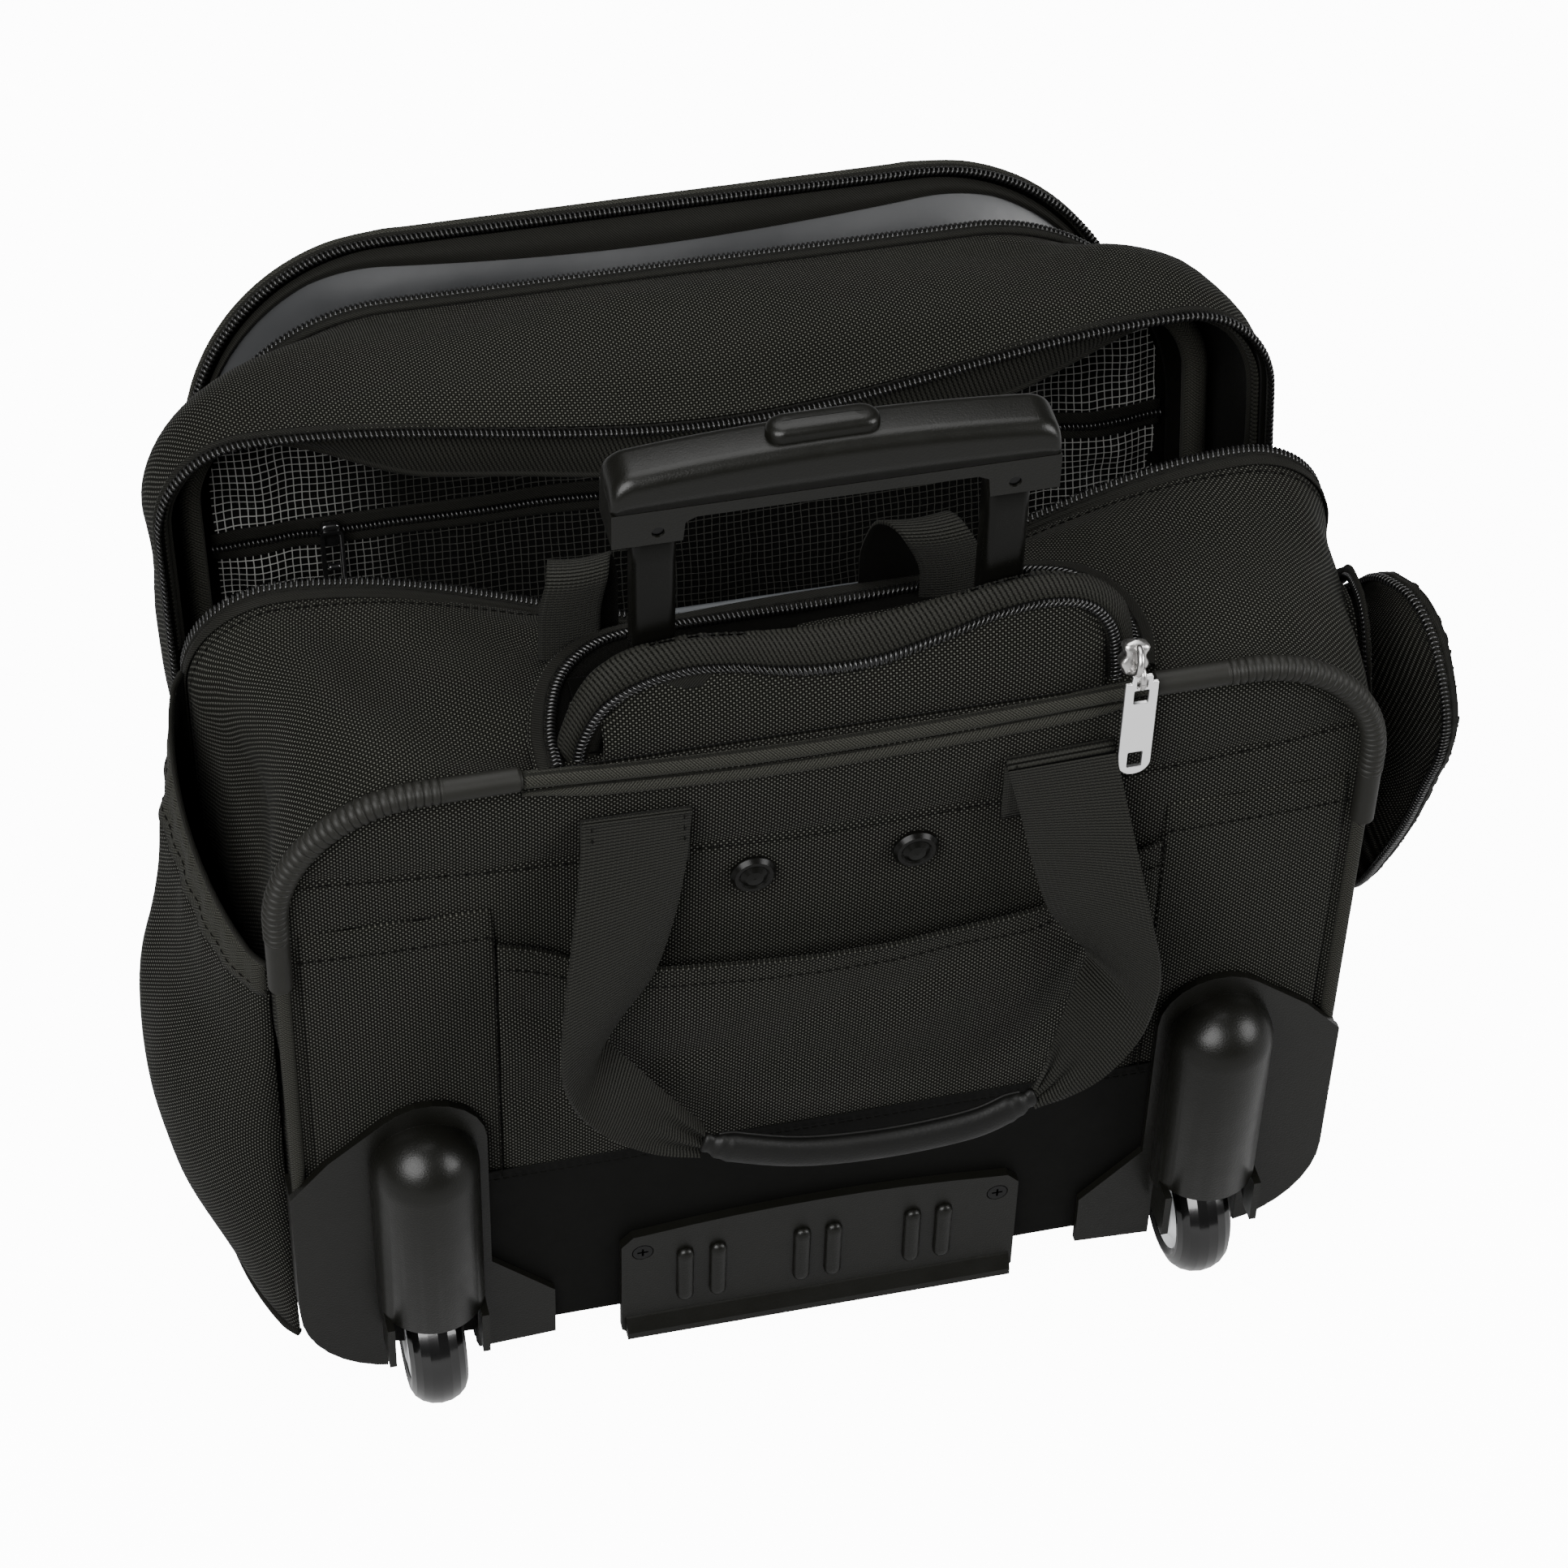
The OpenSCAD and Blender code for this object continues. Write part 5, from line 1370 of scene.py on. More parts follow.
def trolley_grip():
    """Upper shell of the grip: an arched bar whose long edges and ends are well rounded."""
    low, high = cad_mm("grip_upper")
    half = high[0]
    split, crown = low[2], high[2]
    middle = (low[1] + high[1]) / 2
    depth = (high[1] - low[1]) / 2
    ends = half - 9 + 9 * np.sin(np.linspace(0, 1, 12) * math.pi / 2)
    x = np.concatenate([-ends[::-1], np.linspace(-half + 11, half - 11, 50), ends])
    tip_in = np.clip(np.abs(x) - (half - 9), 0, 9)
    crown_x = crown - 5 * (x / half) ** 2 - (9 - np.sqrt(81 - tip_in ** 2)) * 0.85
    pinch = np.clip(np.abs(x) - (half - 2.4), 0, 2.4)
    wide = depth - (2.4 - np.sqrt(2.4 ** 2 - pinch ** 2))
    r = 6.0
    turn = np.linspace(0, math.pi / 2, 9)
    profile_y = np.concatenate([[-1, -1], -1 + 0 * turn, 1 + 0 * turn, [1, 1]])
    bend_y = np.concatenate([[0, 0], 1 - np.cos(turn), -(1 - np.cos(turn[::-1])), [0, 0]]) * r
    bend_z = np.concatenate([[0, 0], 1 - np.sin(turn), 1 - np.sin(turn[::-1]), [0, 0]]) * r
    level = np.concatenate([[0, 0.5], 1 + 0 * turn, 1 + 0 * turn, [0.5, 0]])
    y = middle + profile_y[None] * wide[:, None] + bend_y[None] * (wide / depth)[:, None]
    z = np.where(level == 1, crown_x[:, None] - bend_z[None], split + level[None] * (crown_x[:, None] - r - split))
    rings = np.stack([x[:, None] + 0 * y, y, np.maximum(z, split)], axis=-1)
    caps = [np.broadcast_to(ring.mean(axis=0), ring.shape)[None] for ring in (rings[0], rings[-1])]
    points = np.concatenate([caps[0], rings, caps[1]])
    obj = new_mesh("grip_shell", in_rear(points).reshape(-1, 3),
                   grid_quads(len(points), points.shape[1], closed=True))
    finish(obj, "trolley_grip", [M["plastic"]], ["grip_upper"])


def inner_posts():
    """Innermost tubes of the trolley handle, slimmer than the CAD's, with a collar where they leave the next stage."""
    low, high = cad_mm("inner_tubes")
    mouth_low, mouth_high = cad_mm("upper_tubes")
    slim = rounded_box(14.0, 11.0, 2.4)
    mouth = rounded_box(CAD_POST[0] + 2.5, CAD_POST[1] + 2.5, 2.6)
    for side, label in ((-1, "left"), (1, "right")):
        middle = np.array([side * (high[0] - CAD_POST[0] / 2), (low[1] + high[1]) / 2])
        heights = np.linspace(low[2], high[2], 12)
        rings = np.array([np.column_stack([slim + middle, np.full(len(slim), z)]) for z in heights])
        sheet("inner_post_" + label, place(rings), "trolley_grip", [M["black_tube"]], closed=True,
              thick=1.2, replaces=["inner_tubes"])
        collar = []
        for edge, z in ((mouth, -6.0), (mouth, 0.4), (mouth * 0.96, 1.2), (slim * 1.06, 1.2), (slim * 1.04, -6.0)):
            collar.append(np.column_stack([edge + middle, np.full(len(edge), mouth_high[2] + z)]))
        sheet("post_collar_" + label, place(np.array(collar)), "upper_stage", [M["plastic"]],
              closed=True, thick=0.0)


def push_button():
    """Release button: a pad with round ends and a crowned top."""
    low, high = cad_mm("push_button")
    flange = 2.5
    half = (high[0] - low[0]) / 2 - flange
    deep = (high[1] - low[1]) / 2 - 1
    middle = (low + high) / 2
    rings = []
    for down, shrink in ((14.0, 0.0), (4.6, 0.0), (3.2, 0.3), (2.2, 1.2), (1.6, 2.6), (1.4, 4.2), (1.4, 5.9)):
        loop = rounded_box(2 * half, 2 * deep, deep - 0.1, 9)
        loop = loop * np.array([1 - shrink / half, 1 - min(shrink / deep, 0.98)])
        crown = 1.4 * (1 - (loop[:, 0] / half) ** 2)
        rings.append(np.stack([middle[0] + loop[:, 0], middle[1] + loop[:, 1], high[2] - down + crown], axis=1))
    points = in_rear(np.array(rings))
    obj = new_mesh("push_button_cap", points.reshape(-1, 3), grid_quads(len(points), points.shape[1], closed=True))
    finish(obj, "release_button", [M["plastic"]], ["push_button"])


def kick_plate_ribs():
    """Rounded ribs of the kick plate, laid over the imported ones."""
    front = cad_mm("kick_plate")[0][1] + 3
    reach = np.sin(np.linspace(-1, 1, 9)[:5] * math.pi / 2)
    z = np.concatenate([38 + 3.6 * reach, np.linspace(40, 62, 6), 64 - 3.6 * reach[::-1]])
    radius = 3.6 * np.concatenate([np.sqrt(1 - reach ** 2) + 0.02, np.ones(6), np.sqrt(1 - reach[::-1] ** 2) + 0.02])
    profile = np.array([(0.4, 27.5), (-0.6, 26.5), (-4.4, 20.8), (-4.6, 17.4), (-4.0, 16.6), (0.4, 16.6)])
    ends = np.array([-83.4, -83.2, 83.2, 83.4])
    shrink = np.array([0.05, 1.0, 1.0, 0.05])[:, None, None]
    centre = profile.mean(axis=0)
    section = centre + (profile - centre)[None] * shrink
    lip = np.stack([ends[:, None] + 0 * section[..., 0], front + section[..., 0], section[..., 1]], axis=-1)
    obj = new_mesh("kick_plate_lip", in_rear(lip).reshape(-1, 3), grid_quads(4, len(profile), closed=True),
                   smooth=False)
    finish(obj, "case_back", [M["plastic"]])
    for k, x in enumerate((-58, -44, -8, 5.5, 39.5, 53)):
        path = in_rear(np.stack([0 * z + x, 0 * z + front - 0.7, z], axis=1))
        tube("kick_plate_rib_%d" % k, path, radius * MM, "case_back", M["plastic"], sides=20,
             flat=0.72, up=(0, 1, 0))


# ---- Carry handle ----

LEFT_EDGES = [
    ((-99, -4.5, 329), (-57, -4.5, 328)), ((-101, -10, 309), (-60, -8, 303)), ((-106, -20, 281), (-65, -10, 275)),
    ((-111, -29, 252), (-73, -11, 247)), ((-113, -34, 231), (-83, -10, 229)), ((-112, -36, 216), (-92, -8, 216)),
    ((-106, -36, 199), (-91, -9, 211)), ((-94, -35, 181), (-81, -17, 202)), ((-77, -32, 165), (-69, -22, 187)),
    ((-58, -30, 157), (-55, -27, 170)),
]
RIGHT_EDGES = [
    ((107, -6, 328), (65, -5, 326)), ((111, -12, 308), (71, -8, 302)), ((117, -21, 278), (77, -10, 276)),
    ((122, -29, 251), (85, -10, 250)), ((126, -33, 229), (96, -9, 231)), ((125, -35, 211), (104, -7, 217)),
    ((119, -36, 190), (98, -14, 208)), ((107, -35, 171), (90, -21, 191)), ((93, -32, 158), (84, -26, 175)),
    ((80, -30, 152), (79, -28, 163)),
]


def strap(name, edges, replaces):
    outer = smooth_curve([pair[0] for pair in edges], 150)
    inner = smooth_curve([pair[1] for pair in edges], 150)
    share = np.linspace(0, 1, 15)[None, :, None]
    points = outer[:, None] * (1 - share) + inner[:, None] * share
    normal = grid_normals(points)
    along = np.linspace(0, 1, 150)[:, None]
    gather = rise(along, 0.8, 1.0) * 1.9 * np.cos(share[..., 0] * math.pi * 5)
    cup = 1.4 * np.sin(math.pi * share[..., 0]) * rise(along, 0.05, 0.4)
    points = points + normal * (gather + cup)[..., None]
    width = np.linspace(-0.5, 0.5, 15)[None, :] * 39 * MM + 0 * along
    length = np.broadcast_to((lengths((outer + inner) / 2) * MM)[:, None], width.shape)
    obj = sheet(name, in_rear(points), None, [M["webbing"]], thick=1.7,
                uv=np.stack([width, length], axis=-1), replaces=replaces)
    bevel = obj.modifiers.new("edge", "BEVEL")
    bevel.width = 0.4 * MM
    bevel.segments = 2
    for modifier in list(obj.modifiers):
        apply_modifier(obj, modifier.name)
    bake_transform(obj)
    return obj


def strap_anchor(name, edges):
    """The end of a strap: folded under at its top and sewn to the panel."""
    (x0, _, z0), (x1, _, z1) = edges[0]
    x = np.linspace(x0, x1, 14)[None, :]
    turn = np.linspace(0, math.pi, 9)[:, None]
    y = np.concatenate([-3.2 - 1.8 * np.cos(turn[::-1]), np.full((10, 1), -1.4)]) + 0 * x
    drop = np.concatenate([1.8 * np.sin(turn), -np.linspace(1, 30, 10)[:, None]])
    z = np.linspace(z0, z1, 14)[None, :] + drop
    points = in_rear(np.stack([x + 0 * z, y, z], axis=-1))
    sheet(name, points, "case_back", [M["webbing"]], thick=1.4, replaces=["strap_anchors"])
    for rail in (0.08, 0.92):
        at = x0 + (x1 - x0) * rail
        line = np.array([[at, -6.3, z0 - 1], [at, -6.9, z0 - 12]])
        stitches("%s_stitches_%d" % (name, int(rail * 100)), in_rear(smooth_curve(line, 30)), "case_back", stitch=2.2)


GRIP_LINE = [(-57, -29, 164), (-46, -31, 160), (-17, -33, 152), (18, -33, 148.5), (52, -33, 151), (70, -31, 155.5),
             (80, -29, 158)]


def carry_grip():
    """Leather wrapped round the straps, folded into three ridges and gathered at both ends."""
    path = smooth_curve(GRIP_LINE, 160)
    share = np.linspace(0, 1, len(path))
    ends = np.minimum(share, 1 - share)
    angle = np.linspace(0, 2 * math.pi, 144, endpoint=False)
    across = np.sin(angle)
    toward = np.cos(angle)
    groove = sum(bump_at(np.degrees(np.arctan2(across, toward)), centre, 6) for centre in (-44, -10, 24, 56))
    forward = directions(path)
    up = unit(np.cross(np.cross(forward, (0.0, 0.0, 1.0)), forward))
    out = unit(np.cross(forward, up)) * -1
    swell = 0.62 + 0.38 * rise(ends, 0.0, 0.09)
    wrinkle = 0.07 * np.sin(share * 160) * (1 - rise(ends, 0.02, 0.12))
    size = (swell + wrinkle)[:, None]
    height = 7.2 * size * (across * (1 - 0.06 * groove))[None]
    depth = 4.4 * size * (toward * (1 - 0.34 * groove))[None]
    points = path[:, None] + height[..., None] * up[:, None] + depth[..., None] * out[:, None]
    caps = [points[:1] * 0.05 + path[:1, None] * 0.95, points, points[-1:] * 0.05 + path[-1:, None] * 0.95]
    points = in_rear(np.concatenate(caps))
    sheet("carry_grip_leather", points, "carry_handle", [M["leather"]], closed=True, thick=0,
          replaces=["carry_grip"])
    for edge, lift in ((math.radians(72), 7.3), (math.radians(-76), 7.3)):
        line = path + up * math.sin(edge) * lift * swell[:, None] + out * math.cos(edge) * 6.4 * swell[:, None]
        tube("grip_edge_%s" % ("top" if edge > 0 else "foot"), in_rear(line[6:-6]), 0.7 * MM, "carry_handle",
             M["leather"], sides=8, up=(0, 1, 0))


# ---- Front half ----

def front_gusset():
    depths = np.concatenate([np.linspace(ZIP_Y + 6.5, ZIP_Y + 12, 4), np.linspace(ZIP_Y + 16, FRONT_Y - 4, 30)])
    points = shell(FRONT_STATIONS, depths)
    y = points[..., 1]
    ease = rise(y, ZIP_Y + 8, ZIP_Y + 30) * (1 - rise(y, FRONT_Y - 24, FRONT_Y - 3))
    out = grid_normals(points, closed=True)
    relief = 3.0 * ripples(points, 115, 103) + 1.0 * ripples(points, 45, 104)
    points = points + out * (relief * ease)[..., None]
    sheet("front_gusset", in_front(points), "front_half", [M["nylon"], M["inside"]],
          closed=True, thick=2.2, replaces=["front_shell"])
    return points


def tipped_direction(place_points, points, vectors):
    """Directions of vectors after the points are placed."""
    start = place_points(points)
    return unit(place_points(points + vectors) - start)


def seam_zip(name, loop, inward, body, place_points, replaces, tape=10.0):
    """Zip half, folded cloth edge and stitches along the upper part of a shell's edge."""
    loop = smooth_curve(loop[::2], 520)
    out = outward(loop)
    inward = np.broadcast_to(np.array(inward, float), loop.shape)
    world_in = tipped_direction(place_points, loop, inward)
    world_out = tipped_direction(place_points, loop, out)
    zip_half(name, place_points(loop + out * 0.3), world_in, world_out, body, tape=tape, replaces=replaces)
    fold = loop + inward * 7.2 + out * 0.2
    tube(name + "_fold", place_points(fold), 1.5 * MM, body, M["binding"], sides=10, up=world_out)
    near = loop + inward * 11.5 + out * 0.9
    stitches(name + "_stitches", place_points(near), body, lift=world_out)


def front_half():
    front_gusset()
    main = upper_part(loop_at(FRONT_STATIONS[1]) + np.array([0, -2.0, 0]), 62)
    seam_zip("front_zip", main, (0, 1, 0), "front_half", in_front, ["main_zipper_front"])
    pocket = upper_part(loop_at(FRONT_STATIONS[-2], -1.0) + np.array([0, 7.0, 0]), 150)
    seam_zip("pocket_zip_inner", pocket, (0, -1, 0), "front_half", in_front, ["front_zipper_inner"], tape=8)
    # wall between the packing space and the front pocket
    x, z, width = face_grid(HALF_W - 2, BOTTOM_Z + 12, TOP_Z + 7, 38, 86, columns=60, rows=50)
    y = FRONT_Y - 6 + 1.0 * ripples(np.stack([x, 0 * x, z], axis=-1), 80, 111)
    sheet("front_wall", in_front(np.stack([x, y, z], axis=-1)), "front_half", [M["inside"]],
          thick=1.0, uv=planar_uv(x, z), flip=True)
    # padded roll inside the opening, down both sides and over the top
    inner = upper_part(loop_at(FRONT_STATIONS[1], 16.0) + np.array([0, 52.0, 0]), 70)
    inner = smooth_curve(inner[::2], 300)
    radius = (2.6 + 3.0 * rise(np.abs(inner[:, 0]), HALF_W - 40, HALF_W - 4)) * MM
    tube("front_inner_roll", in_front(inner), radius, "front_half", M["piping"], sides=14, up=(0, 1, 0))
    front_valance()


def front_valance():
    """Bound band of cloth that hangs inside the front zip, deepest between the corners."""
    loop = upper_part(loop_at(FRONT_STATIONS[1], 2.5) + np.array([0, 6.5, 0]), 250)
    loop = smooth_curve(loop[::2], 260)
    out = outward(loop)
    deep = rise(HALF_W - np.abs(loop[:, 0]), 18, 100)
    share = np.linspace(0, 1, 16)[:, None, None]
    drop = (2.5 + 20 * deep)[None, :, None] * share
    flat = loop[None] - out[None] * drop
    swell = 2.2 * np.sin(math.pi * share[..., 0]) + 1.5 * ripples(flat, 70, 151) * share[..., 0]
    points = flat + np.array([0, 1.0, 0]) * (6 * share - swell[..., None])
    sheet("front_valance", in_front(points), "front_half", [M["ribbed"]], thick=1.0, flip=True,
          uv=cloth_uv(points) * MM)
    tube("front_valance_hem", in_front(points[-1]), 1.5 * MM, "front_half", M["binding"], sides=10,
         up=(0, 1, 0))


MESH_ZIP_Z = 268


def mesh_surface(x, z):
    bulge = 5.0 * np.cos(np.clip(x / 196, -1, 1) * math.pi / 2) * np.sin(math.pi * np.clip((z - 60) / 275, 0, 1))
    flat = np.stack([x, 0 * x, z], axis=-1)
    corner = rise(np.abs(x), 120, 185)
    return FRONT_Y - 9 - bulge + 1.3 * ripples(flat, 60, 121) + 2.2 * corner * ripples(flat, 26, 122)


def mesh_pocket():
    for name, low, high in (("mesh_lower", 62, MESH_ZIP_Z - 5.5), ("mesh_upper", MESH_ZIP_Z + 5.5, 350)):
        z = np.linspace(low, high, 60)[:, None]
        corner = np.clip(z - (TOP_Z + 7 - 86), 0, 85)
        half = np.minimum(204, HALF_W - 8 - 86 + np.sqrt(86 ** 2 - corner ** 2))
        x = half * np.linspace(-1, 1, 124)[None, :]
        z = z + 0 * x
        y = mesh_surface(x, z)
        piece = sheet(name, in_front(np.stack([x, y, z], axis=-1)), "front_half", [M["mesh"]],
                      thick=0.0, uv=planar_uv(x, z), flip=True, replaces=["mesh_pocket"])
        piece.visible_shadow = True
    x = np.linspace(-206, 206, 114)
    for row, (low, high) in enumerate(((-6.5, -0.9), (0.9, 6.5))):
        z = np.linspace(low, high, 5)[:, None] + MESH_ZIP_Z + 0 * x
        y = mesh_surface(x + 0 * z, z) - 0.6
        sheet("mesh_zip_tape_%d" % row, in_front(np.stack([x + 0 * z, y, z], axis=-1)), "front_half",
              [M["binding"]], thick=0.8, flip=True, replaces=["mesh_zipper"])
    line = np.stack([x, mesh_surface(x, 0 * x + MESH_ZIP_Z) - 0.9, 0 * x + MESH_ZIP_Z], axis=1)
    down = tipped_direction(in_front, line, np.array([0, 0, -1.0]))
    lift = tipped_direction(in_front, line, np.array([0, -1.0, 0]))
    coil_teeth("mesh_zip_teeth", in_front(line), down, lift, "front_half", pitch=1.9, reach=1.7, wire=0.5)
    low, high = mesh_slider_box()
    centre = (low + high) / 2
    place_slider("mesh_slider_piece", centre, ((high - low)[0], (high - low)[2] + 1, (high - low)[1] + 2))
    mesh_pull(centre)


def mesh_slider_box():
    """The mesh zip's slider in the zipped-shut layout."""
    low = np.array([-161.0, FRONT_Y - 15.6, MESH_ZIP_Z - 5])
    high = np.array([-152.0, FRONT_Y - 12.6, MESH_ZIP_Z + 5])
    return low, high


def place_slider(name, centre, size):
    length, width, height = size
    t = np.linspace(-0.5, 0.5, 13)
    round_off = np.sqrt(np.clip(1 - (2 * t) ** 6, 0.02, 1))
    angle = np.linspace(0, 2 * math.pi, 18, endpoint=False)
    square = np.abs(np.stack([np.cos(angle), np.sin(angle)])) ** 0.45 * np.sign([np.cos(angle), np.sin(angle)])
    rings = (centre[None, None] + (t * length)[:, None, None] * np.array([1.0, 0, 0])
             + (width / 2 * round_off[:, None] * square[0])[..., None] * np.array([0, 0, 1.0])
             + (height / 2 * round_off[:, None] * square[1])[..., None] * np.array([0, 1.0, 0]))
    obj = new_mesh(name, in_front(rings).reshape(-1, 3), grid_quads(13, 18, closed=True))
    finish(obj, "mesh_slider", [M["gloss"]], ["mesh_zip_slider"])


def mesh_pull(centre):
    """Black pull with a window, hanging from the mesh zip's slider."""
    width, length, y = 10.0, 33.0, centre[1] - 3.4
    top = centre[2] + 3
    loops = []
    for shrink, radius in ((0.0, 2.2), (2.0, 1.0)):
        loops.append(rounded_box(width - 2 * shrink, length - 2 * shrink, radius))
    outer, inner = loops
    rings = []
    for loop, depth in ((outer, -0.6), (outer, 0.6), (inner, 0.9), (inner, -0.9), (outer, -0.6)):
        rings.append(np.stack([centre[0] + loop[:, 0], y + np.full(len(loop), depth),
                               top - length / 2 + loop[:, 1]], axis=1))
    obj = new_mesh("mesh_pull_frame", in_front(np.array(rings)).reshape(-1, 3),
                   grid_quads(len(rings), len(outer), closed=True))
    finish(obj, "mesh_tab", [M["gloss"]], ["mesh_zip_pull"])
    rung = np.array([[centre[0] - 2.4, y, top - length * 0.52], [centre[0] + 2.4, y, top - length * 0.52]])
    tube("mesh_pull_bar", in_front(smooth_curve(rung, 6)), 1.5 * MM, "mesh_tab", M["gloss"],
         sides=10)


def rounded_box(width, height, radius, count=8):
    """Closed outline of a rectangle with round corners about the origin."""
    parts = []
    for sx, sz, start in ((1, -1, -90), (1, 1, 0), (-1, 1, 90), (-1, -1, 180)):
        angle = np.radians(np.linspace(start, start + 90, count))
        parts.append(np.stack([sx * (width / 2 - radius) + radius * np.cos(angle),
                               sz * (height / 2 - radius) + radius * np.sin(angle)], axis=1))
    return np.concatenate(parts)


# ---- Front pocket ----

def front_panel():
    depths = np.linspace(PANEL_Y + 5.5, PANEL_Y + 10, 6)
    points = shell(PANEL_STATIONS, depths)
    sheet("panel_gusset", in_panel(points), "front_pocket", [M["nylon"], M["inside"]],
          closed=True, thick=1.6, replaces=["front_panel"])
    edge = np.concatenate([points[-1], points[-1][:1]])
    rim = smooth_curve(edge[::3], 420)
    tube("panel_piping", in_panel(rim), 2.6 * MM, "front_pocket", M["piping"], sides=14,
         up=(0, 1, 0))
    half, bottom, top = HALF_W - 8, BOTTOM_Z + 23, TOP_Z + 14
    x, z, width = face_grid(half, bottom, top, 38, 90, columns=130, rows=90)
    distance = edge_distance(x, z, width, bottom, top)
    dome = 7.5 * rise(distance, -4, 46)
    flat = np.stack([x, 0 * x, z], axis=-1)
    relief = (1.6 * ripples(flat, 110, 131) + 0.5 * ripples(flat, 45, 132)) * rise(distance, 4, 40)
    y = PANEL_Y + 9.5 + dome + relief
    sheet("panel_face", in_panel(np.stack([x, y, z], axis=-1)), "front_pocket",
          [M["nylon"], M["inside"]], thick=1.6, uv=planar_uv(x, z))
    line_x = np.linspace(-half + 30, half - 30, 120)
    near = np.interp(line_x, x[40], y[40])
    stitches("panel_stitches", in_panel(np.stack([line_x, near + 0.2, 0 * line_x + z[40, 0]], axis=1)),
             "front_pocket", lift=(0, 1, 0))
    loop = upper_part(loop_at(PANEL_STATIONS[0]), 150)
    seam_zip("pocket_zip_outer", loop, (0, 1, 0), "front_pocket", in_panel, ["front_zipper_outer"], tape=8)
    pocket_lining(half - 3, bottom + 4, top - 3)
    pocket_gusset()


def pocket_lining(half, bottom, top, r_bottom=36.0, r_top=88.0):
    """Satin lining of the front pocket, hung from a dark hem that is widest in the middle."""
    x = half * np.sin(np.linspace(-1, 1, 140) * math.pi / 2 * 0.995)[None, :]
    over = np.clip(np.abs(x) - (half - r_top), 0, r_top)
    under = np.clip(np.abs(x) - (half - r_bottom), 0, r_bottom)
    head = top - r_top + np.sqrt(r_top ** 2 - over ** 2)
    foot = bottom + r_bottom - np.sqrt(r_bottom ** 2 - under ** 2)
    limit = head - 2.5 - 8 * np.cos(np.clip(x / 150, -1, 1) * math.pi / 2)
    share = np.linspace(0, 1, 90)[:, None]
    for name, low, high, material in (("panel_lining", foot, limit, M["lining"]),
                                      ("panel_hem", limit - 3, head, M["binding"])):
        z = low + (high - low) * share
        wide = x + 0 * z
        flat = np.stack([wide, 0 * z, z], axis=-1)
        inset = np.minimum(np.minimum(half - np.abs(wide), z - foot), head - z)
        sag = np.clip(5.5 * ripples(flat, 120, 141) + 2.2 * ripples(flat, 50, 142) + 3, 0, 14)
        y = PANEL_Y + 3.0 - sag * rise(inset, 2, 30)
        if material is M["binding"]:
            y = y - 0.9 - 2.2 * np.sin(math.pi * share)
        sheet(name, in_panel(np.stack([wide, y, z], axis=-1)), "front_pocket", [material], thick=0.6,
              uv=planar_uv(wide, z), flip=True)


def pocket_gusset():
    """Folded cloth that joins the panel to the front half round its foot and sides."""
    inner = loop_at(FRONT_STATIONS[-1], 4)
    outer = loop_at(PANEL_STATIONS[0], 4)
    order = np.roll(np.arange(len(inner)), len(inner) // 2)
    order = order[inner[order][:, 2] < 235]
    share = np.linspace(0, 1, 14)[:, None, None]
    start = in_front(inner[order])[None]
    end = in_panel(outer[order])[None]
    points = start * (1 - share) + end * share
    centre = in_panel(np.array([0.0, PANEL_Y, 190.0]))
    points = points + unit(centre - points) * np.sin(math.pi * share) * 7 * MM
    obj = sheet("pocket_gusset", points, None, [M["nylon"], M["lining"]], thick=0.8)
    apply_modifier(obj, "thickness")
    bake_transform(obj)


def main_sliders():
    for side, label in ((-1, "left"), (1, "right")):
        zip_slider("main_slider_" + label, (side * (HALF_W + 14.5), REAR_DEPTH + 1.5, 53), (0, 0, 1), (side, 0, 0),
                   (12, 7.5, 5), "case_back", M["chrome"], replaces=["main_zip_sliders"])


# ---- Floor, light, camera ----

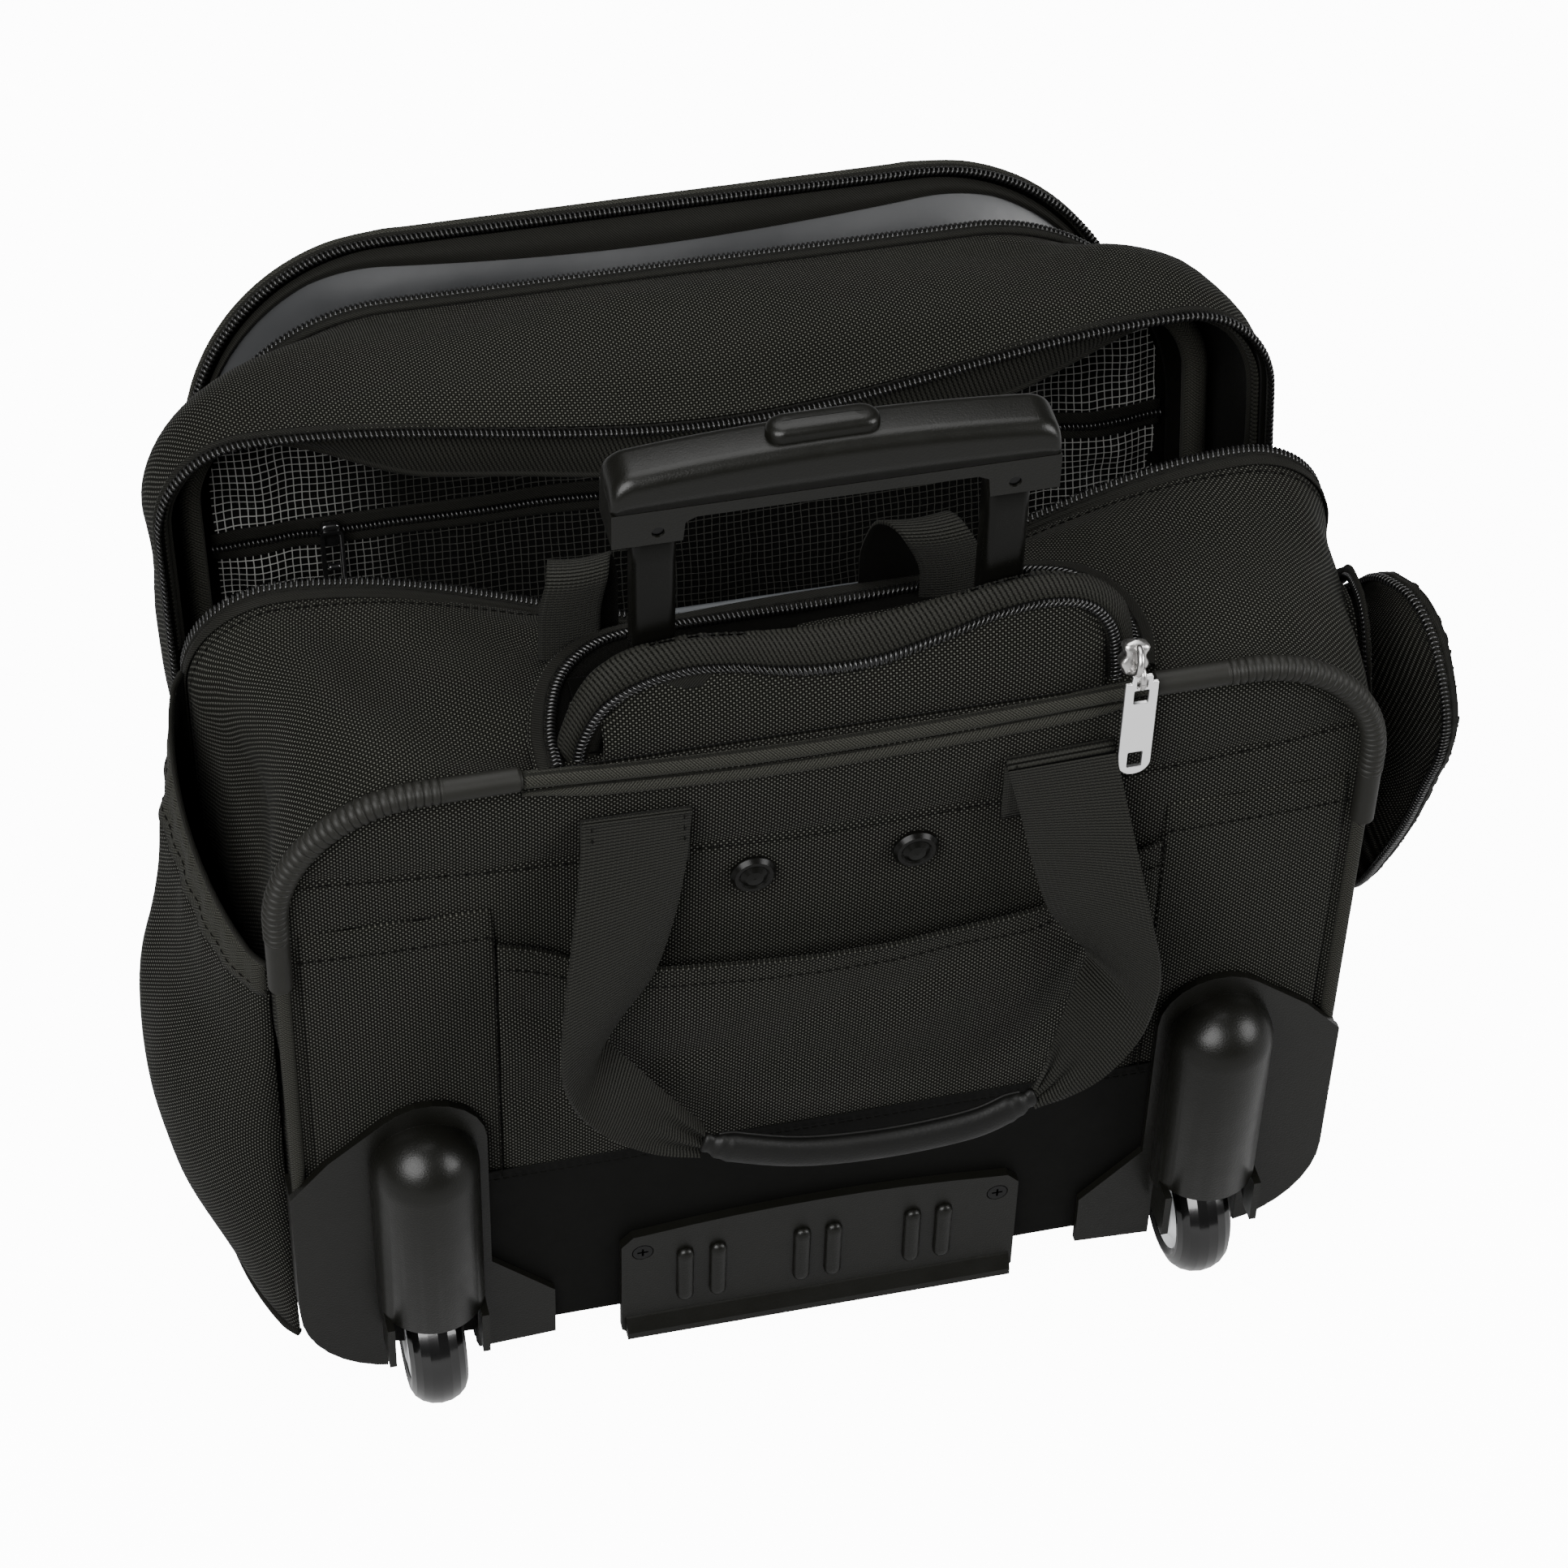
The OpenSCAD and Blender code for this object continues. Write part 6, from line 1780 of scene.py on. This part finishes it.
def studio():
    scene = bpy.context.scene
    bpy.ops.mesh.primitive_plane_add(size=14, location=(0, 0, 0))
    floor = bpy.context.object
    floor.name = "floor"
    shader = Shader("floor_paper")
    seen = shader.node("ShaderNodeLightPath").outputs["Is Camera Ray"]
    shader.set(Base_Color=(0.38, 0.38, 0.38), Roughness=1.0, Specular_IOR_Level=0.0,
               Emission_Color=(1.0, 1.0, 1.0), Emission_Strength=shader.math("MULTIPLY", seen, 12.0))
    floor.data.materials.append(shader.material)
    world = bpy.data.worlds.new("studio")
    scene.world = world
    world.use_nodes = True
    tree = world.node_tree
    background = tree.nodes["Background"]
    background.inputs[0].default_value = (1, 1, 1, 1)
    seen = tree.nodes.new("ShaderNodeLightPath").outputs["Is Camera Ray"]
    strength = tree.nodes.new("ShaderNodeMapRange")
    tree.links.new(seen, strength.inputs[0])
    strength.inputs[3].default_value = 0.12
    strength.inputs[4].default_value = 12.0
    tree.links.new(strength.outputs[0], background.inputs[1])
    lights = (
        ("key", (-1.3, -1.5, 1.9), 2.0, 175, (0.05, 0.0, 0.2)),
        ("fill", (1.9, -1.1, 1.3), 1.4, 75, (0.0, 0.0, 0.2)),
        ("top", (0.1, 0.7, 2.6), 2.2, 75, (0.0, 0.0, 0.2)),
    )
    for name, where, size, power, target in lights:
        data = bpy.data.lights.new(name, "AREA")
        data.shape = "DISK"
        data.size = size
        data.energy = power
        light = bpy.data.objects.new(name, data)
        scene.collection.objects.link(light)
        light.location = where
        light.rotation_euler = (Vector(target) - Vector(where)).to_track_quat("-Z", "Y").to_euler()


def camera():
    """Camera above the wheel side, a little to the left, rolled slightly."""
    scene = bpy.context.scene
    data = bpy.data.cameras.new("camera")
    data.sensor_width = 36.0
    data.lens = 103.4
    view = bpy.data.objects.new("camera", data)
    scene.collection.objects.link(view)
    azimuth, elevation, roll = (math.radians(a) for a in (-14.51, 46.05, 1.90))
    forward = Vector((-math.sin(azimuth) * math.cos(elevation), math.cos(azimuth) * math.cos(elevation),
                      -math.sin(elevation)))
    location = Vector((-0.3146, -1.3073, 1.5474))
    turn = forward.to_track_quat("-Z", "Y").to_matrix() @ Matrix.Rotation(roll, 3, "Z")
    view.matrix_world = Matrix.Translation(location) @ turn.to_4x4()
    scene.camera = view


laptop_sleeve()
sleeve_loop("sleeve_strap_left", -101, -77, 390, 9)
sleeve_loop("sleeve_strap_right", 48, 74, 386, -21)
handle_flap()
handle_rear_zip()
zip_pull()
strap("carry_strap_left", LEFT_EDGES, ["carry_webbing"])
strap("carry_strap_right", RIGHT_EDGES, ["carry_webbing"])
strap_anchor("strap_anchor_left", LEFT_EDGES)
strap_anchor("strap_anchor_right", RIGHT_EDGES)
carry_grip()
trolley_grip()
inner_posts()
push_button()
kick_plate_ribs()
front_half()
mesh_pocket()
front_panel()
main_sliders()
studio()
camera()
